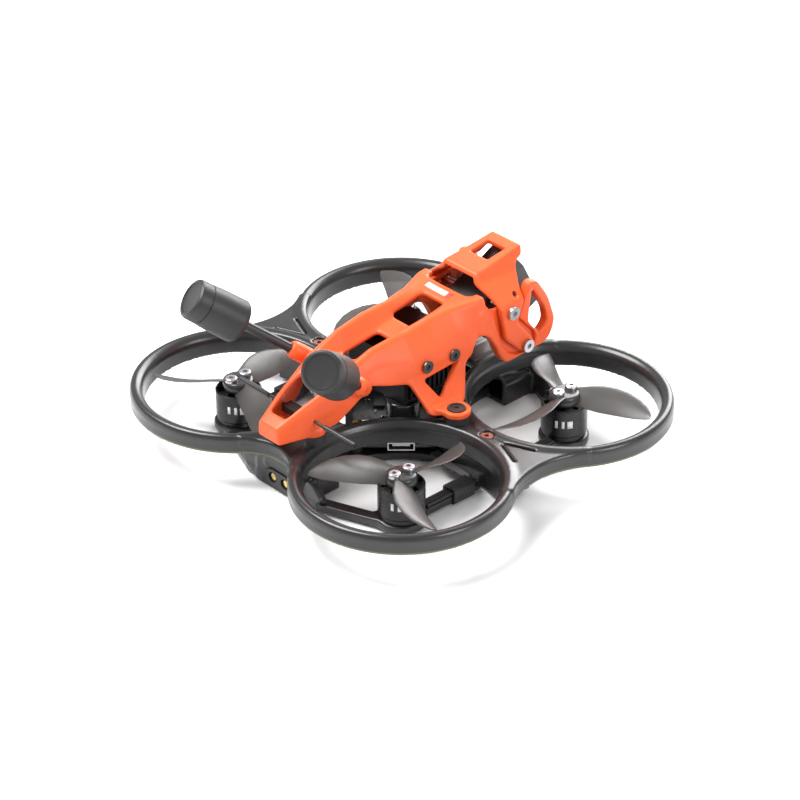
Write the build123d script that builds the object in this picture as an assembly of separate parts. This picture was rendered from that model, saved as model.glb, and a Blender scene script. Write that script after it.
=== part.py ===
"""A ducted two-inch racing drone as separate pieces, one STEP file for each.

Millimetres. +Y is forward (camera end), +X is the drone's right, +Z is up.
The origin is under the centre of the four motors, on the surface that the drone stands on.
"""

from build123d import *
import math
import os

# Plan: four motor axes, at (+-MOTOR_X, +-MOTOR_Y).
MOTOR_X = 33.16
MOTOR_Y = 30.42
SIDES = {
    "front_left": (-1, 1, -1, 142),
    "front_right": (1, 1, 1, 33),
    "rear_left": (-1, -1, 1, -21),
    "rear_right": (1, -1, -1, 90),
}  # name: (x side, y side, spin sense seen from above, first blade's heading in degrees)

# Ducts.
DUCT_BORE_R = 26.0
DUCT_WALL_R = 27.3
LIP_R = 30.0
LIP_WALL = 1.1
DUCT_Z0 = 8.8
LIP_Z0 = 10.0
LIP_Z1 = 15.4
THROAT_Z = 12.5
CREST_R0 = 28.4
CREST_R1 = 28.8

# Deck that joins the ducts, and the junctions below it.
DECK_Z0 = 12.6
DECK_Z1 = 15.0
DECK_CUT_R = 27.4
SIDE_FILLET_R = 25.0
END_FILLET_R = 12.6
SECTOR = (-36.0, -90.0, -135.0, -180.0, -216.0)
HOLE_CUT_R = 29.0
DECK_HOLE_Y = 24.0
DECK_HOLE_X = 19.0
DECK_SCREW_X = 33.9
FOOT_X = 23.3
FOOT_Y = -1.1
FOOT_R = 3.9
GROMMET_SEAT = 18.65

# Bottom plate, arms and motor pads.
FRAME_Z0 = 0.8
FRAME_Z1 = 3.1
PLATE_CUT_R = 30.2
PLATE_X = 24.0
BAY_X = 9.4
BAY_Y0 = 31.4
BAY_Y1 = 44.0
BAY_WALL = 1.4
PAD_R = 7.0
PAD_HOLE_PCD_R = 4.5
SIDE_ARM_X = 34.6
SIDE_ARM_W = 3.2
LATERAL_ARM_W = 3.7
LATERAL_ARM_FROM = (9.0, 44.0)
LATERAL_ARM_TO = (31.7, 35.1)
SLEEVE_Y0 = 7.2
SLEEVE_Y1 = 14.6

# Motors.
BASE_R = 6.1
BASE_Z1 = 4.5
BEARING_R = 1.9
TUBE_R = 2.6
TUBE_Z1 = 10.4
STATOR_R = 5.1
STATOR_Z0 = 5.6
STATOR_Z1 = 9.4
BELL_R = 6.4
BELL_WALL = 0.45
BELL_Z0 = 4.9
BELL_Z1 = 13.0
BELL_TOP = 1.5
MAGNET_R = 5.45
SHAFT_R = 0.75
SHAFT_Z0 = 3.5
RUNNING = 0.03

# Propellers.
HUB_R = 4.3
HUB_Z1 = 15.9
PROP_SCREW_X = 2.5
PROP_HEAD_R = 1.75
BLADE_SECTIONS = [
    # radius, chord, pitch in degrees, mid height, sweep forward of the blade's line
    (3.2, 4.4, 31, 14.75, 0.0),
    (6.6, 6.0, 30, 14.90, 0.3),
    (11.0, 8.5, 29, 14.40, 0.7),
    (16.0, 8.7, 26, 13.90, 0.4),
    (21.0, 6.9, 22, 13.50, -0.8),
    (24.6, 3.9, 18, 13.20, -2.4),
]
BLADE_T = 0.75

# Electronics.
BOARD_HALF = 15.3
BOARD_Z0 = 5.2
BOARD_T = 1.0
BOARD_HOLE = 12.75
USB_W = 7.4
USB_H = 2.5
USB_Z = 7.45
VTX = (11.2, -9.0, 13.5, 17.8, 31.0)
FIN_PITCH = 1.7
CAPACITOR = (7.6, -6.2, 4.6, 9.0, 17.6)
CONNECTOR = (9.8, 5.0, 8.0, 4.0)
PIN_PITCH = 5.0

# Canopy.
SHELL_X = 14.2
SHELL_WALL = 1.5
LEG_Z1 = 25.4
CHEEK_X = 12.8
CHEEK_IN = 11.4
ARM_X0 = 13.3
ARM_X1 = 14.9
EAR_X = 5.8
EAR_Y = -36.3
EAR_Z = 18.35

# Camera, which tilts with its bracket about the lower screws.
PIVOT = (33.7, 21.6)
UPPER_SCREW = (27.8, 34.1)
CAMERA_TILT = 28.0
CAMERA_HALF = 7.0
SCREW_R = 1.0

# Aerials.
CLAMP = (11.7, -25.3, 30.7)
AERIAL_DIR = (0.389, -0.712, 0.587)
ROD_R = 1.35
POD_FROM = 20.8
POD_TO = 36.8
POD_R0 = 6.1
POD_R1 = 5.7
RX_Y = -37.7
RX_Z = 23.0
RX_X = 23.5

OUT = "parts"


def save(name, *solids):
    """Write one node: a single solid, or separate solids that share the node."""
    flat = []
    for item in solids:
        flat.extend(item.solids())
    shape = flat[0] if len(flat) == 1 else Compound(children=flat)
    shape.label = name
    export_step(shape, os.path.join(OUT, name + ".step"))


def block(x0, x1, y0, y1, z0, z1):
    """Box between two corners."""
    box = Box(x1 - x0, y1 - y0, z1 - z0)
    return Pos((x0 + x1) / 2, (y0 + y1) / 2, (z0 + z1) / 2) * box


def rod(x, y, z0, z1, radius):
    """Upright cylinder."""
    return Pos(x, y, (z0 + z1) / 2) * Cylinder(radius, z1 - z0)


def tube(x, y, z0, z1, outer, inner):
    """Upright hollow cylinder."""
    return rod(x, y, z0, z1, outer) - rod(x, y, z0 - 1, z1 + 1, inner)


def cross_rod(y, z, x0, x1, radius):
    """Cylinder along X."""
    return Pos((x0 + x1) / 2, y, z) * Rot(0, 90, 0) * Cylinder(radius, x1 - x0)


def rod_between(start, end, radius):
    """Cylinder from one point to another."""
    line = Vector(*end) - Vector(*start)
    plane = Plane(origin=start, z_dir=line.normalized())
    return plane * Pos(0, 0, line.length / 2) * Cylinder(radius, line.length)


def plate(points, z0, z1):
    """Plan polygon with a thickness."""
    face = make_face(Polyline(*points, close=True))
    return Pos(0, 0, z0) * extrude(face, z1 - z0)


def side_plate(points, x0, x1):
    """Side-view polygon of (y, z) points with a thickness across X."""
    face = make_face(Polyline(*[(0, y, z) for y, z in points], close=True))
    return extrude(face, x1 - x0, dir=(1, 0, 0)).moved(Location((x0, 0, 0)))


def both_sides(shape):
    """A shape and its mirror image across the centre plane."""
    return [shape, mirror(shape, Plane.YZ)]


def motors():
    """Each motor's name, centre, spin sense and first blade heading."""
    for name, (sx, sy, spin, heading) in SIDES.items():
        yield name, sx * MOTOR_X, sy * MOTOR_Y, sx, sy, spin, heading


def cut_at_motors(shape, radius, z0=-1, z1=40):
    """Take the four round duct spaces out of a shape."""
    for _, x, y, *_ in motors():
        shape = shape - rod(x, y, z0, z1, radius)
    return shape


# ---------------------------------------------------------------- airframe


def fillet_centre_side():
    """Distance of the side valley's arc centre from the middle."""
    return MOTOR_X + math.sqrt((LIP_R + SIDE_FILLET_R) ** 2 - MOTOR_Y**2)


def fillet_centre_end():
    """Distance of the front and rear valley's arc centre from the middle."""
    return MOTOR_Y + math.sqrt((LIP_R + END_FILLET_R) ** 2 - MOTOR_X**2)


def web_plan(z0, z1):
    """The joined plan of the deck: everything between the ducts, valleys rounded."""
    side_c = fillet_centre_side()
    end_c = fillet_centre_end()
    share_side = LIP_R / (LIP_R + SIDE_FILLET_R)
    share_end = LIP_R / (LIP_R + END_FILLET_R)
    tx = MOTOR_X + (side_c - MOTOR_X) * share_side
    ty = MOTOR_Y * (1 - share_side)
    ex = MOTOR_X * (1 - share_end)
    ey = MOTOR_Y + (end_c - MOTOR_Y) * share_end
    outline = [
        (tx, -ty),
        (tx, ty),
        (MOTOR_X, MOTOR_Y),
        (ex, ey),
        (-ex, ey),
        (-MOTOR_X, MOTOR_Y),
        (-tx, ty),
        (-tx, -ty),
        (-MOTOR_X, -MOTOR_Y),
        (-ex, -ey),
        (ex, -ey),
        (MOTOR_X, -MOTOR_Y),
    ]
    web = plate(outline, z0, z1)
    for sign in (-1, 1):
        web = web - rod(sign * side_c, 0, z0 - 1, z1 + 1, SIDE_FILLET_R)
        web = web - rod(0, sign * end_c, z0 - 1, z1 + 1, END_FILLET_R)
    return web


def duct_profile():
    """Half section of a duct: thin wall, hollow lip and bell-mouth."""
    top = [
        Line((DUCT_BORE_R, DUCT_Z0), (DUCT_WALL_R, DUCT_Z0)),
        Line((DUCT_WALL_R, DUCT_Z0), (DUCT_WALL_R, LIP_Z1 - 2.4)),
        Line((DUCT_WALL_R, LIP_Z1 - 2.4), (LIP_R - LIP_WALL, LIP_Z1 - 2.4)),
        Line((LIP_R - LIP_WALL, LIP_Z1 - 2.4), (LIP_R - LIP_WALL, LIP_Z0)),
        Line((LIP_R - LIP_WALL, LIP_Z0), (LIP_R, LIP_Z0)),
        Line((LIP_R, LIP_Z0), (LIP_R, LIP_Z1 - 1.5)),
        ThreePointArc((LIP_R, LIP_Z1 - 1.5), (29.63, LIP_Z1 - 0.43), (CREST_R1, LIP_Z1)),
        Line((CREST_R1, LIP_Z1), (CREST_R0, LIP_Z1)),
        ThreePointArc((CREST_R0, LIP_Z1), (26.72, 14.5), (DUCT_BORE_R, THROAT_Z)),
        Line((DUCT_BORE_R, THROAT_Z), (DUCT_BORE_R, DUCT_Z0)),
    ]
    return make_face([edge.moved(Location(Plane.XZ)) for edge in top])


def deck_sector(sx, sy):
    """Pie around one motor where the deck takes over the duct's lip."""
    reach = 2 * LIP_R
    points = [(MOTOR_X, MOTOR_Y)]
    for degrees in SECTOR:
        angle = math.radians(degrees)
        points.append((MOTOR_X + reach * math.cos(angle), MOTOR_Y + reach * math.sin(angle)))
    pie = plate(points, LIP_Z0 - 1, LIP_Z1 + 1)
    return place_quarter(pie, sx, sy)


def duct_rings():
    """Four ducts, each cut where the deck takes over its lip."""
    full = revolve(duct_profile(), Axis.Z, 360)
    usb_gap = usb_space(0.4)
    for name, x, y, sx, sy, *_ in motors():
        taken = deck_sector(sx, sy) - rod(x, y, 0, 30, DECK_CUT_R)
        ring = Pos(x, y, 0) * full - taken
        if name == "rear_right":
            ring = ring - usb_gap
        save("duct_" + name, ring)


def top_deck():
    """Flat web between the ducts, with the electronics opening and V grooves."""
    deck = cut_at_motors(web_plan(DECK_Z0, DECK_Z1), DECK_CUT_R)
    for _, x, y, sx, sy, *_ in motors():
        kept_lip = tube(x, y, LIP_Z0, LIP_Z1 + 2, LIP_R + 0.02, DECK_CUT_R) - deck_sector(sx, sy)
        deck = deck - kept_lip
    deck = largest(deck)
    hole = block(-DECK_HOLE_X, DECK_HOLE_X, -DECK_HOLE_Y, DECK_HOLE_Y, DECK_Z0 - 1, DECK_Z1 + 1)
    deck = deck - cut_at_motors(hole, HOLE_CUT_R)
    for sign in (-1, 1):
        for end in (-1, 1):
            groove = block(-4.6, 4.6, -0.35, 0.35, DECK_Z1 - 0.8, DECK_Z1 + 1)
            turn = 24 * end * sign
            deck = deck - Pos(sign * 44.0, end * 2.3, 0) * Rot(0, 0, turn) * groove
        deck = deck - rod(sign * DECK_SCREW_X, 0, 0, 20, SCREW_R + 0.05)
        deck = deck - rod(sign * DECK_SCREW_X, 0, DECK_Z1 - 1.0, 20, 1.9)
    return deck


def side_junctions():
    """Posts that join the bottom plate and arms to the deck, left and right."""
    post = block(25.0, 45.0, -6.0, 6.0, FRAME_Z0, DECK_Z0)
    post = cut_at_motors(post, DECK_CUT_R)
    post = post - rod(DECK_SCREW_X, 0, 4.0, 20, SCREW_R + 0.05)
    return both_sides(post)


def bottom_plate():
    """Tray floor that follows the ducts' curves."""
    floor = block(-PLATE_X - 1, PLATE_X + 1, -BAY_Y0, BAY_Y0, FRAME_Z0, FRAME_Z1)
    return cut_at_motors(floor, PLATE_CUT_R)


def bay(sign):
    """End block that closes the frame in front (sign 1) or behind (sign -1)."""
    body = make_face(
        Polyline(
            (-BAY_X, 0, 0),
            (BAY_X, 0, 0),
            (BAY_X, 0, 7.0),
            (7.4, 0, DUCT_Z0 - 0.1),
            (-7.4, 0, DUCT_Z0 - 0.1),
            (-BAY_X, 0, 7.0),
            close=True,
        )
    )
    core = extrude(body, BAY_Y1 - BAY_Y0, dir=(0, 1, 0)).moved(Location((0, BAY_Y0, 0)))
    column = block(-5.4, 5.4, BAY_Y0, BAY_Y1, DUCT_Z0 - 0.1, DECK_Z0)
    flare = make_face(
        Polyline(
            (-BAY_X, 0, 0.3),
            (BAY_X, 0, 0.3),
            (16.6, 0, 4.7),
            (12.6, 0, DUCT_Z0 - 0.1),
            (-12.6, 0, DUCT_Z0 - 0.1),
            (-16.6, 0, 4.7),
            close=True,
        )
    )
    wings = extrude(flare, 2.2, dir=(0, 1, 0)).moved(Location((0, BAY_Y1 - 2.2, 0)))
    shape = core + column + wings
    inner = block(-BAY_X + BAY_WALL, BAY_X - BAY_WALL, BAY_Y0 - 1, BAY_Y1 - BAY_WALL, 1.4, 7.4)
    shape = shape - inner
    if sign < 0:
        shape = mirror(shape, Plane.XZ)
        width, height, _, z = CONNECTOR
        mouth = extrude(SlotOverall(width + 0.2, height + 0.2), 6, both=True)
        mouth = Pos(0, -BAY_Y1, z) * Rot(90, 0, 0) * mouth
        shape = shape - mouth
    else:
        for index in range(5):
            x = -6.4 + 3.2 * index
            shape = shape - block(x - 0.6, x + 0.6, BAY_Y1 - 0.7, BAY_Y1 + 1, 2.0, 7.6)
    return shape


def motor_pad(x, y):
    """Round pad under one motor, with four screw holes and a shaft hole."""
    pad = rod(x, y, FRAME_Z0, FRAME_Z1, PAD_R) - rod(x, y, 0, 5, 2.2)
    for px, py in pad_holes(x, y):
        pad = pad - rod(px, py, 0, 5, SCREW_R + 0.05)
    return pad


def pad_holes(x, y):
    """Centres of the four motor screws."""
    for index in range(4):
        angle = math.radians(45 + 90 * index)
        yield x + PAD_HOLE_PCD_R * math.cos(angle), y + PAD_HOLE_PCD_R * math.sin(angle)


def lateral_arm(sx, sy):
    """Arm from a pad to the end block."""
    (x0, y0), (x1, y1) = LATERAL_ARM_FROM, LATERAL_ARM_TO
    length = math.hypot(x1 - x0, y1 - y0)
    turn = math.degrees(math.atan2(y1 - y0, x1 - x0))
    half = LATERAL_ARM_W / 2
    bar = block(0, length + 3, -half, half, FRAME_Z0, FRAME_Z1)
    bar = Pos(x0, y0, 0) * Rot(0, 0, turn) * bar
    bar = bar - rod(MOTOR_X, MOTOR_Y, 0, 5, PAD_R) - bay(1)
    bar = bar - block(-1, BAY_X, BAY_Y0, BAY_Y1 + 5, 0, 5) - block(0, 30, BAY_Y1, BAY_Y1 + 5, 0, 5)
    bar = bar & block(BAY_X, MOTOR_X, 30, BAY_Y1, 0, 5)
    return place_quarter(largest(bar), sx, sy)


def side_arm(sx, sy):
    """Arm from a pad to the side junction."""
    half = SIDE_ARM_W / 2
    bar = block(SIDE_ARM_X - half, SIDE_ARM_X + half, 1, MOTOR_Y, FRAME_Z0, FRAME_Z1)
    bar = bar - rod(MOTOR_X, MOTOR_Y, 0, 5, PAD_R)
    post = cut_at_motors(block(25.0, 45.0, -6.0, 6.0, FRAME_Z0, DECK_Z0), DECK_CUT_R)
    return place_quarter(largest(bar - post), sx, sy)


def largest(shape):
    """The biggest solid of a shape."""
    return max(shape.solids(), key=lambda solid: solid.volume)


def place_quarter(shape, sx, sy):
    """Mirror a right-front piece into the quarter that the signs name."""
    if sx < 0:
        shape = mirror(shape, Plane.YZ)
    if sy < 0:
        shape = mirror(shape, Plane.XZ)
    return shape


def arm_sleeve(sx, sy):
    """Heat-shrink sleeve that holds the motor leads down on a side arm."""
    outer = block(SIDE_ARM_X - 2.3, SIDE_ARM_X + 2.3, SLEEVE_Y0, SLEEVE_Y1, 0.4, 5.1)
    outer = fillet(outer.edges().filter_by(Axis.Y), 0.8)
    inner = block(SIDE_ARM_X - 1.75, SIDE_ARM_X + 1.75, SLEEVE_Y0 - 1, SLEEVE_Y1 + 1, 0.75, 4.6)
    return place_quarter(outer - inner, sx, sy)


def motor_leads(sx, sy):
    """Three insulated wires from a motor base along its arm to the board."""
    leads = []
    for index in (-1, 0, 1):
        x = SIDE_ARM_X + index * 1.1
        route = [
            (x, MOTOR_Y - BASE_R - 0.6, 3.75),
            (x, 5.6 + index * 0.5, 3.75),
            (24.2, 5.9 + index * 0.9, 4.1),
            (18.4, 4.4 + index * 1.1, 4.4),
        ]
        wire = FilletPolyline(*route, radius=[1.0, 3.0])
        start = Plane(origin=wire @ 0, z_dir=wire % 0)
        leads.append(sweep(start * Circle(0.48), path=wire))
    return [place_quarter(lead, sx, sy) for lead in leads]


def deck_screws():
    """Countersunk screws that hold the deck down at the side junctions."""
    screw = rod(DECK_SCREW_X, 0, 5.0, DECK_Z1 - 1.0, SCREW_R)
    screw = screw + rod(DECK_SCREW_X, 0, DECK_Z1 - 1.0, DECK_Z1 - 0.1, 1.8)
    screw = screw - rod(DECK_SCREW_X, 0, DECK_Z1 - 0.7, DECK_Z1 + 1, 0.65)
    return both_sides(screw)


def airframe():
    """Ducts, deck, plate, arms and their screws."""
    duct_rings()
    save("top_deck", top_deck())
    save("side_junctions", *side_junctions())
    save("bottom_plate", bottom_plate())
    save("front_bay", bay(1))
    save("rear_bay", bay(-1))
    spots = list(motors())
    save("motor_pads", *[motor_pad(x, y) for _, x, y, *_ in spots])
    save("lateral_arms", *[lateral_arm(sx, sy) for _, _, _, sx, sy, *_ in spots])
    save("side_arms", *[side_arm(sx, sy) for _, _, _, sx, sy, *_ in spots])
    save("arm_sleeves", *[arm_sleeve(sx, sy) for _, _, _, sx, sy, *_ in spots])
    leads = []
    for _, _, _, sx, sy, *_ in spots:
        leads.extend(motor_leads(sx, sy))
    save("motor_leads", *leads)
    save("deck_screws", *deck_screws())
    screws = []
    for _, x, y, *_ in spots:
        for px, py in pad_holes(x, y):
            screws.append(rod(px, py, FRAME_Z0, BASE_Z1 - 0.3, SCREW_R) + rod(px, py, 0.1, FRAME_Z0, 1.6))
    save("motor_screws", *screws)


# ---------------------------------------------------------------- motors and propellers


def motor_base(x, y):
    """Fixed motor foot with its bearing tube."""
    foot = rod(x, y, FRAME_Z1, BASE_Z1, BASE_R) + rod(x, y, FRAME_Z1, TUBE_Z1, TUBE_R)
    foot = foot - rod(x, y, 0, 20, BEARING_R)
    for px, py in pad_holes(x, y):
        foot = foot - rod(px, py, 0, BASE_Z1 + 1, SCREW_R + 0.05)
    return foot


def stator(x, y):
    """Nine-tooth laminated core with wound poles."""
    core = tube(x, y, STATOR_Z0, STATOR_Z1, 3.5, TUBE_R)
    for index in range(9):
        tooth = block(3.2, STATOR_R - 0.5, -0.75, 0.75, STATOR_Z0, STATOR_Z1)
        tip = block(STATOR_R - 0.9, STATOR_R - 0.25, -1.45, 1.45, STATOR_Z0, STATOR_Z1)
        tip = tip & rod(0, 0, 0, 20, STATOR_R)
        core = core + Pos(x, y, 0) * Rot(0, 0, 40 * index) * (tooth + tip)
    return core


def bell(x, y):
    """Rotor cup with open spokes on top and a boss for the propeller."""
    inner = BELL_R - BELL_WALL
    top0 = BELL_Z1 - BELL_TOP
    cup = tube(x, y, BELL_Z0, top0, BELL_R, inner) + rod(x, y, top0, BELL_Z1, BELL_R)
    cup = chamfer(cup.edges().sort_by(Axis.Z)[-1], 0.35)
    cup = cup + rod(x, y, top0 - 0.6, BELL_Z1, 3.6)
    cup = cup - rod(x, y, 0, 20, SHAFT_R + 0.005)
    window = tube(0, 0, top0 - 2, BELL_Z1 + 1, inner - 0.15, 3.7) & block(0, 8, -1.35, 1.35, 0, 20)
    for index in range(6):
        cup = cup - Pos(x, y, 0) * Rot(0, 0, 60 * index) * window
    for px, py in prop_screw_spots(x, y):
        cup = cup - rod(px, py, 10, 20, SCREW_R + 0.02)
    return cup


def magnets(x, y):
    """Twelve arc magnets on the inside of the bell."""
    outer = BELL_R - BELL_WALL - 0.02
    ring = tube(0, 0, BELL_Z0 + 0.5, STATOR_Z1 + 0.3, outer, MAGNET_R)
    wedge = block(0, 8, -1.2, 1.2, 0, 20)
    return [Pos(x, y, 0) * Rot(0, 0, 15 + 30 * index) * (ring & wedge) for index in range(12)]


def prop_screw_spots(x, y):
    """The two screws stand fore and aft of the shaft."""
    return [(x, y - PROP_SCREW_X), (x, y + PROP_SCREW_X)]


def blade(spin):
    """One wide scimitar blade along +X, leading edge up for its spin sense."""
    sections = []
    for radius, chord, pitch, height, sweep_y in BLADE_SECTIONS:
        half = chord / 2
        thick = BLADE_T * (1.3 - radius / 40)
        tilt = math.radians(pitch)
        outline = [
            (-half, 0.0),
            (-half * 0.5, thick * 0.30),
            (half * 0.2, thick * 0.62),
            (half * 0.75, thick * 0.42),
            (half, 0.0),
            (half * 0.6, -thick * 0.25),
            (-half * 0.3, -thick * 0.15),
        ]
        points = []
        for along, up in outline:
            y = spin * (along * math.cos(tilt) - up * math.sin(tilt) + sweep_y)
            z = height + along * math.sin(tilt) + up * math.cos(tilt)
            points.append((radius, y, z))
        sections.append(make_face(Polyline(*points, close=True)))
    return loft(sections, ruled=True)


def propeller(x, y, spin, heading):
    """Three-blade propeller with a two-screw hub."""
    hub = rod(x, y, BELL_Z1, HUB_Z1, HUB_R)
    hub = chamfer(hub.edges().sort_by(Axis.Z)[-1], 0.5)
    one = blade(spin)
    for index in range(3):
        hub = hub + Pos(x, y, 0) * Rot(0, 0, heading + 120 * index) * one
    hub = hub - rod(x, y, 0, 30, SHAFT_R + 0.005)
    for px, py in prop_screw_spots(x, y):
        hub = hub - rod(px, py, 0, 30, SCREW_R + 0.02)
        hub = hub - rod(px, py, HUB_Z1, 30, PROP_HEAD_R + 0.05)
    return largest(hub)


def prop_screws(x, y):
    """Two button-head screws."""
    screws = []
    for px, py in prop_screw_spots(x, y):
        head = rod(px, py, HUB_Z1, HUB_Z1 + 1.2, PROP_HEAD_R)
        head = fillet(head.edges().sort_by(Axis.Z)[-1], 0.5)
        screw = head + rod(px, py, 11.7, HUB_Z1, SCREW_R)
        socket = Pos(px, py, HUB_Z1 + 0.5) * extrude(RegularPolygon(0.7, 6), 2)
        screws.append(screw - socket)
    return screws


def motor_group():
    """Every motor: fixed pieces grouped, turning pieces one node each."""
    bases, stators, bearings = [], [], []
    for name, x, y, _, _, spin, heading in motors():
        bases.append(motor_base(x, y))
        stators.append(stator(x, y))
        for z0 in (4.6, 8.6):
            bearings.append(tube(x, y, z0, z0 + 1.6, BEARING_R, SHAFT_R + RUNNING))
        save("bell_" + name, bell(x, y))
        save("magnets_" + name, *magnets(x, y))
        save("shaft_" + name, rod(x, y, SHAFT_Z0, HUB_Z1 - 0.2, SHAFT_R))
        save("propeller_" + name, propeller(x, y, spin, heading))
        save("prop_screws_" + name, *prop_screws(x, y))
    save("motor_bases", *bases)
    save("stators", *stators)
    save("bearings", *bearings)


# ---------------------------------------------------------------- electronics


def diagonal(shape):
    """Turn a piece from facing right to facing the rear right motor."""
    return Rot(0, 0, -math.degrees(math.atan2(MOTOR_Y, MOTOR_X))) * shape


def usb_space(margin):
    """Box that the USB socket takes, with a margin."""
    y = USB_W / 2 + margin
    z = USB_H / 2 + margin
    return diagonal(block(11.6 - margin, 18.6 + margin, -y, y, USB_Z - z, USB_Z + z))


def usb_socket():
    """Metal socket shell with an open mouth and a tongue."""
    shell = usb_space(0)
    mouth = diagonal(block(12.6, 20, -USB_W / 2 + 0.35, USB_W / 2 - 0.35, USB_Z - 0.9, USB_Z + 0.9))
    tongue = diagonal(block(12.4, 17.8, -2.4, 2.4, USB_Z - 0.3, USB_Z + 0.3))
    return shell - mouth + tongue


def flight_controller():
    """Square board with four corner holes and its main chips."""
    half = BOARD_HALF
    board = block(-half, half, -half, half, BOARD_Z0, BOARD_Z0 + BOARD_T)
    board = chamfer(board.edges().filter_by(Axis.Z), 2.6)
    top = BOARD_Z0 + BOARD_T
    chips = [(0, 0, 3.5, 3.5), (-7, 5, 2, 2), (-6, -6, 2.5, 1.5), (5, 8, 2.2, 1.4), (4, -9, 1.5, 1.5)]
    for x, y, dx, dy in chips:
        board = board + block(x - dx, x + dx, y - dy, y + dy, top, top + 0.9)
    for sx in (-1, 1):
        for sy in (-1, 1):
            board = board - rod(sx * BOARD_HOLE, sy * BOARD_HOLE, 0, 20, 1.6)
    return diagonal(board)


def corner_spots():
    """Board screw centres in the drone's plan."""
    turn = math.atan2(MOTOR_Y, MOTOR_X)
    for sx in (-1, 1):
        for sy in (-1, 1):
            x, y = sx * BOARD_HOLE, sy * BOARD_HOLE
            c, s = math.cos(-turn), math.sin(-turn)
            yield x * c - y * s, x * s + y * c


def board_grommets():
    """Soft grommets that carry the board at its corners."""
    rings = []
    for x, y in corner_spots():
        ring = tube(x, y, FRAME_Z1, BOARD_Z0, 2.2, 0.9)
        ring = ring + tube(x, y, BOARD_Z0, BOARD_Z0 + BOARD_T, 1.55, 0.9)
        rings.append(ring + tube(x, y, BOARD_Z0 + BOARD_T, 7.4, 2.2, 0.9))
    return rings


def video_transmitter():
    """Black transmitter block with cooling fins on both sides."""
    half, y0, y1, z0, z1 = VTX
    body = block(-half, half, y0, y1, z0, z1)
    count = int((y1 - y0 - 2) / FIN_PITCH)
    for index in range(count):
        y = y0 + 1.4 + index * FIN_PITCH
        for side in (-1, 1):
            x0, x1 = sorted((side * (half - 1.6), side * (half + 1)))
            body = body - block(x0, x1, y, y + 0.8, z0 + 1.2, z1 - 1.2)
    return body


def internal_leads():
    """Battery lead pair, and the camera's flat cable."""
    leads = []
    for side in (-1, 1):
        route = [
            (side * 2.5, -36.6, CONNECTOR[3]),
            (side * 2.5, -32.9, CONNECTOR[3] + 0.4),
            (side * 3.3, -25.8, 8.0),
            (side * 4.0, -18.4, 7.3),
        ]
        wire = FilletPolyline(*route, radius=[3.5, 5.0])
        start = Plane(origin=wire @ 0, z_dir=wire % 0)
        leads.append(sweep(start * Circle(1.0), path=wire))
    leads.append(block(-3.0, 3.0, VTX[2], 26.8, 22.0, 22.8))
    return leads


def electronics():
    """Boards, sockets, leads and the transmitter."""
    save("flight_controller", flight_controller())
    save("usb_socket", usb_socket())
    save("board_grommets", *board_grommets())
    screws = []
    for x, y in corner_spots():
        screws.append(rod(x, y, FRAME_Z1 + 0.05, 7.5, 0.8) + rod(x, y, 7.5, 8.6, 1.8))
    save("board_screws", *screws)
    save("video_transmitter", video_transmitter())
    x, y, radius, z0, z1 = CAPACITOR
    can = rod(x, y, z0, z1, radius)
    can = fillet(can.edges().filter_by(GeomType.CIRCLE), 0.5)
    save("capacitor", can)
    width, height, depth, z = CONNECTOR
    housing = extrude(SlotOverall(width, height), depth)
    housing = Pos(0, -BAY_Y1 - 0.8 + depth, z) * Rot(90, 0, 0) * housing
    flange = extrude(SlotOverall(width - 0.6, height - 0.6), 1.6)
    housing = housing + Pos(0, -BAY_Y1 + depth - 0.8, z) * Rot(90, 0, 0) * flange
    pins = []
    for side in (-1, 1):
        x = side * PIN_PITCH / 2
        bore = Pos(x, -BAY_Y1 - 1.8, z) * Rot(90, 0, 0) * Cylinder(1.55, 12)
        pin = Pos(x, -BAY_Y1 + 2.9, z) * Rot(90, 0, 0) * Cylinder(1.0, 6.4)
        housing = housing - bore - pin
        pins.append(pin)
    save("power_connector", housing)
    save("power_pins", *pins)
    save("internal_leads", *internal_leads())


# ---------------------------------------------------------------- canopy


TOP_LINE = [
    (-48.0, 22.8),
    (-40.0, 27.0),
    (-30.0, 31.4),
    (-24.0, 34.4),
    (-17.0, 37.0),
    (-7.0, 38.3),
    (2.0, 38.9),
    (10.0, 39.6),
    (17.0, 40.4),
]
VALLEY_LINE = [
    (-24.5, 34.6),
    (-22.0, 32.4),
    (-17.0, 33.2),
    (-7.0, 34.4),
    (2.0, 35.9),
    (10.0, 38.2),
    (15.0, 40.4),
]
VALLEY_X = 5.6


def canopy_block():
    """Outer block of the canopy before it is hollowed."""
    side = [(-48.0, 18.0)] + TOP_LINE + [
        (18.6, 37.0),
        (20.6, 35.5),
        (20.6, 26.5),
        (17.4, 29.7),
        (14.6, 27.0),
        (13.0, LEG_Z1),
        (-9.0, LEG_Z1),
        (-11.0, 26.0),
        (-21.0, 28.6),
        (-27.0, 24.0),
        (-31.0, 20.6),
        (-38.0, 18.6),
    ]
    body = side_plate(side, -30, 30)
    plan = [
        (4.0, -48.0),
        (5.6, -46.0),
        (9.6, -30.0),
        (12.6, -18.0),
        (SHELL_X, -8.0),
        (SHELL_X, 20.6),
    ]
    plan += [(-x, y) for x, y in reversed(plan)]
    body = body & plate(plan, 0, 60)
    section = [(-SHELL_X, 10), (SHELL_X, 10), (SHELL_X, 31.0), (8.0, 41.0), (-8.0, 41.0), (-SHELL_X, 31.0)]
    face = make_face(Polyline(*[(x, 0, z) for x, z in section], close=True))
    return body & extrude(face, 60, both=True, dir=(0, 1, 0))


def valley(drop, half):
    """Space above the sunk strip along the canopy's middle."""
    line = [(y, z - drop) for y, z in VALLEY_LINE]
    return side_plate(line + [(15.0, 60.0), (-24.5, 60.0)], -half, half)


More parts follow.
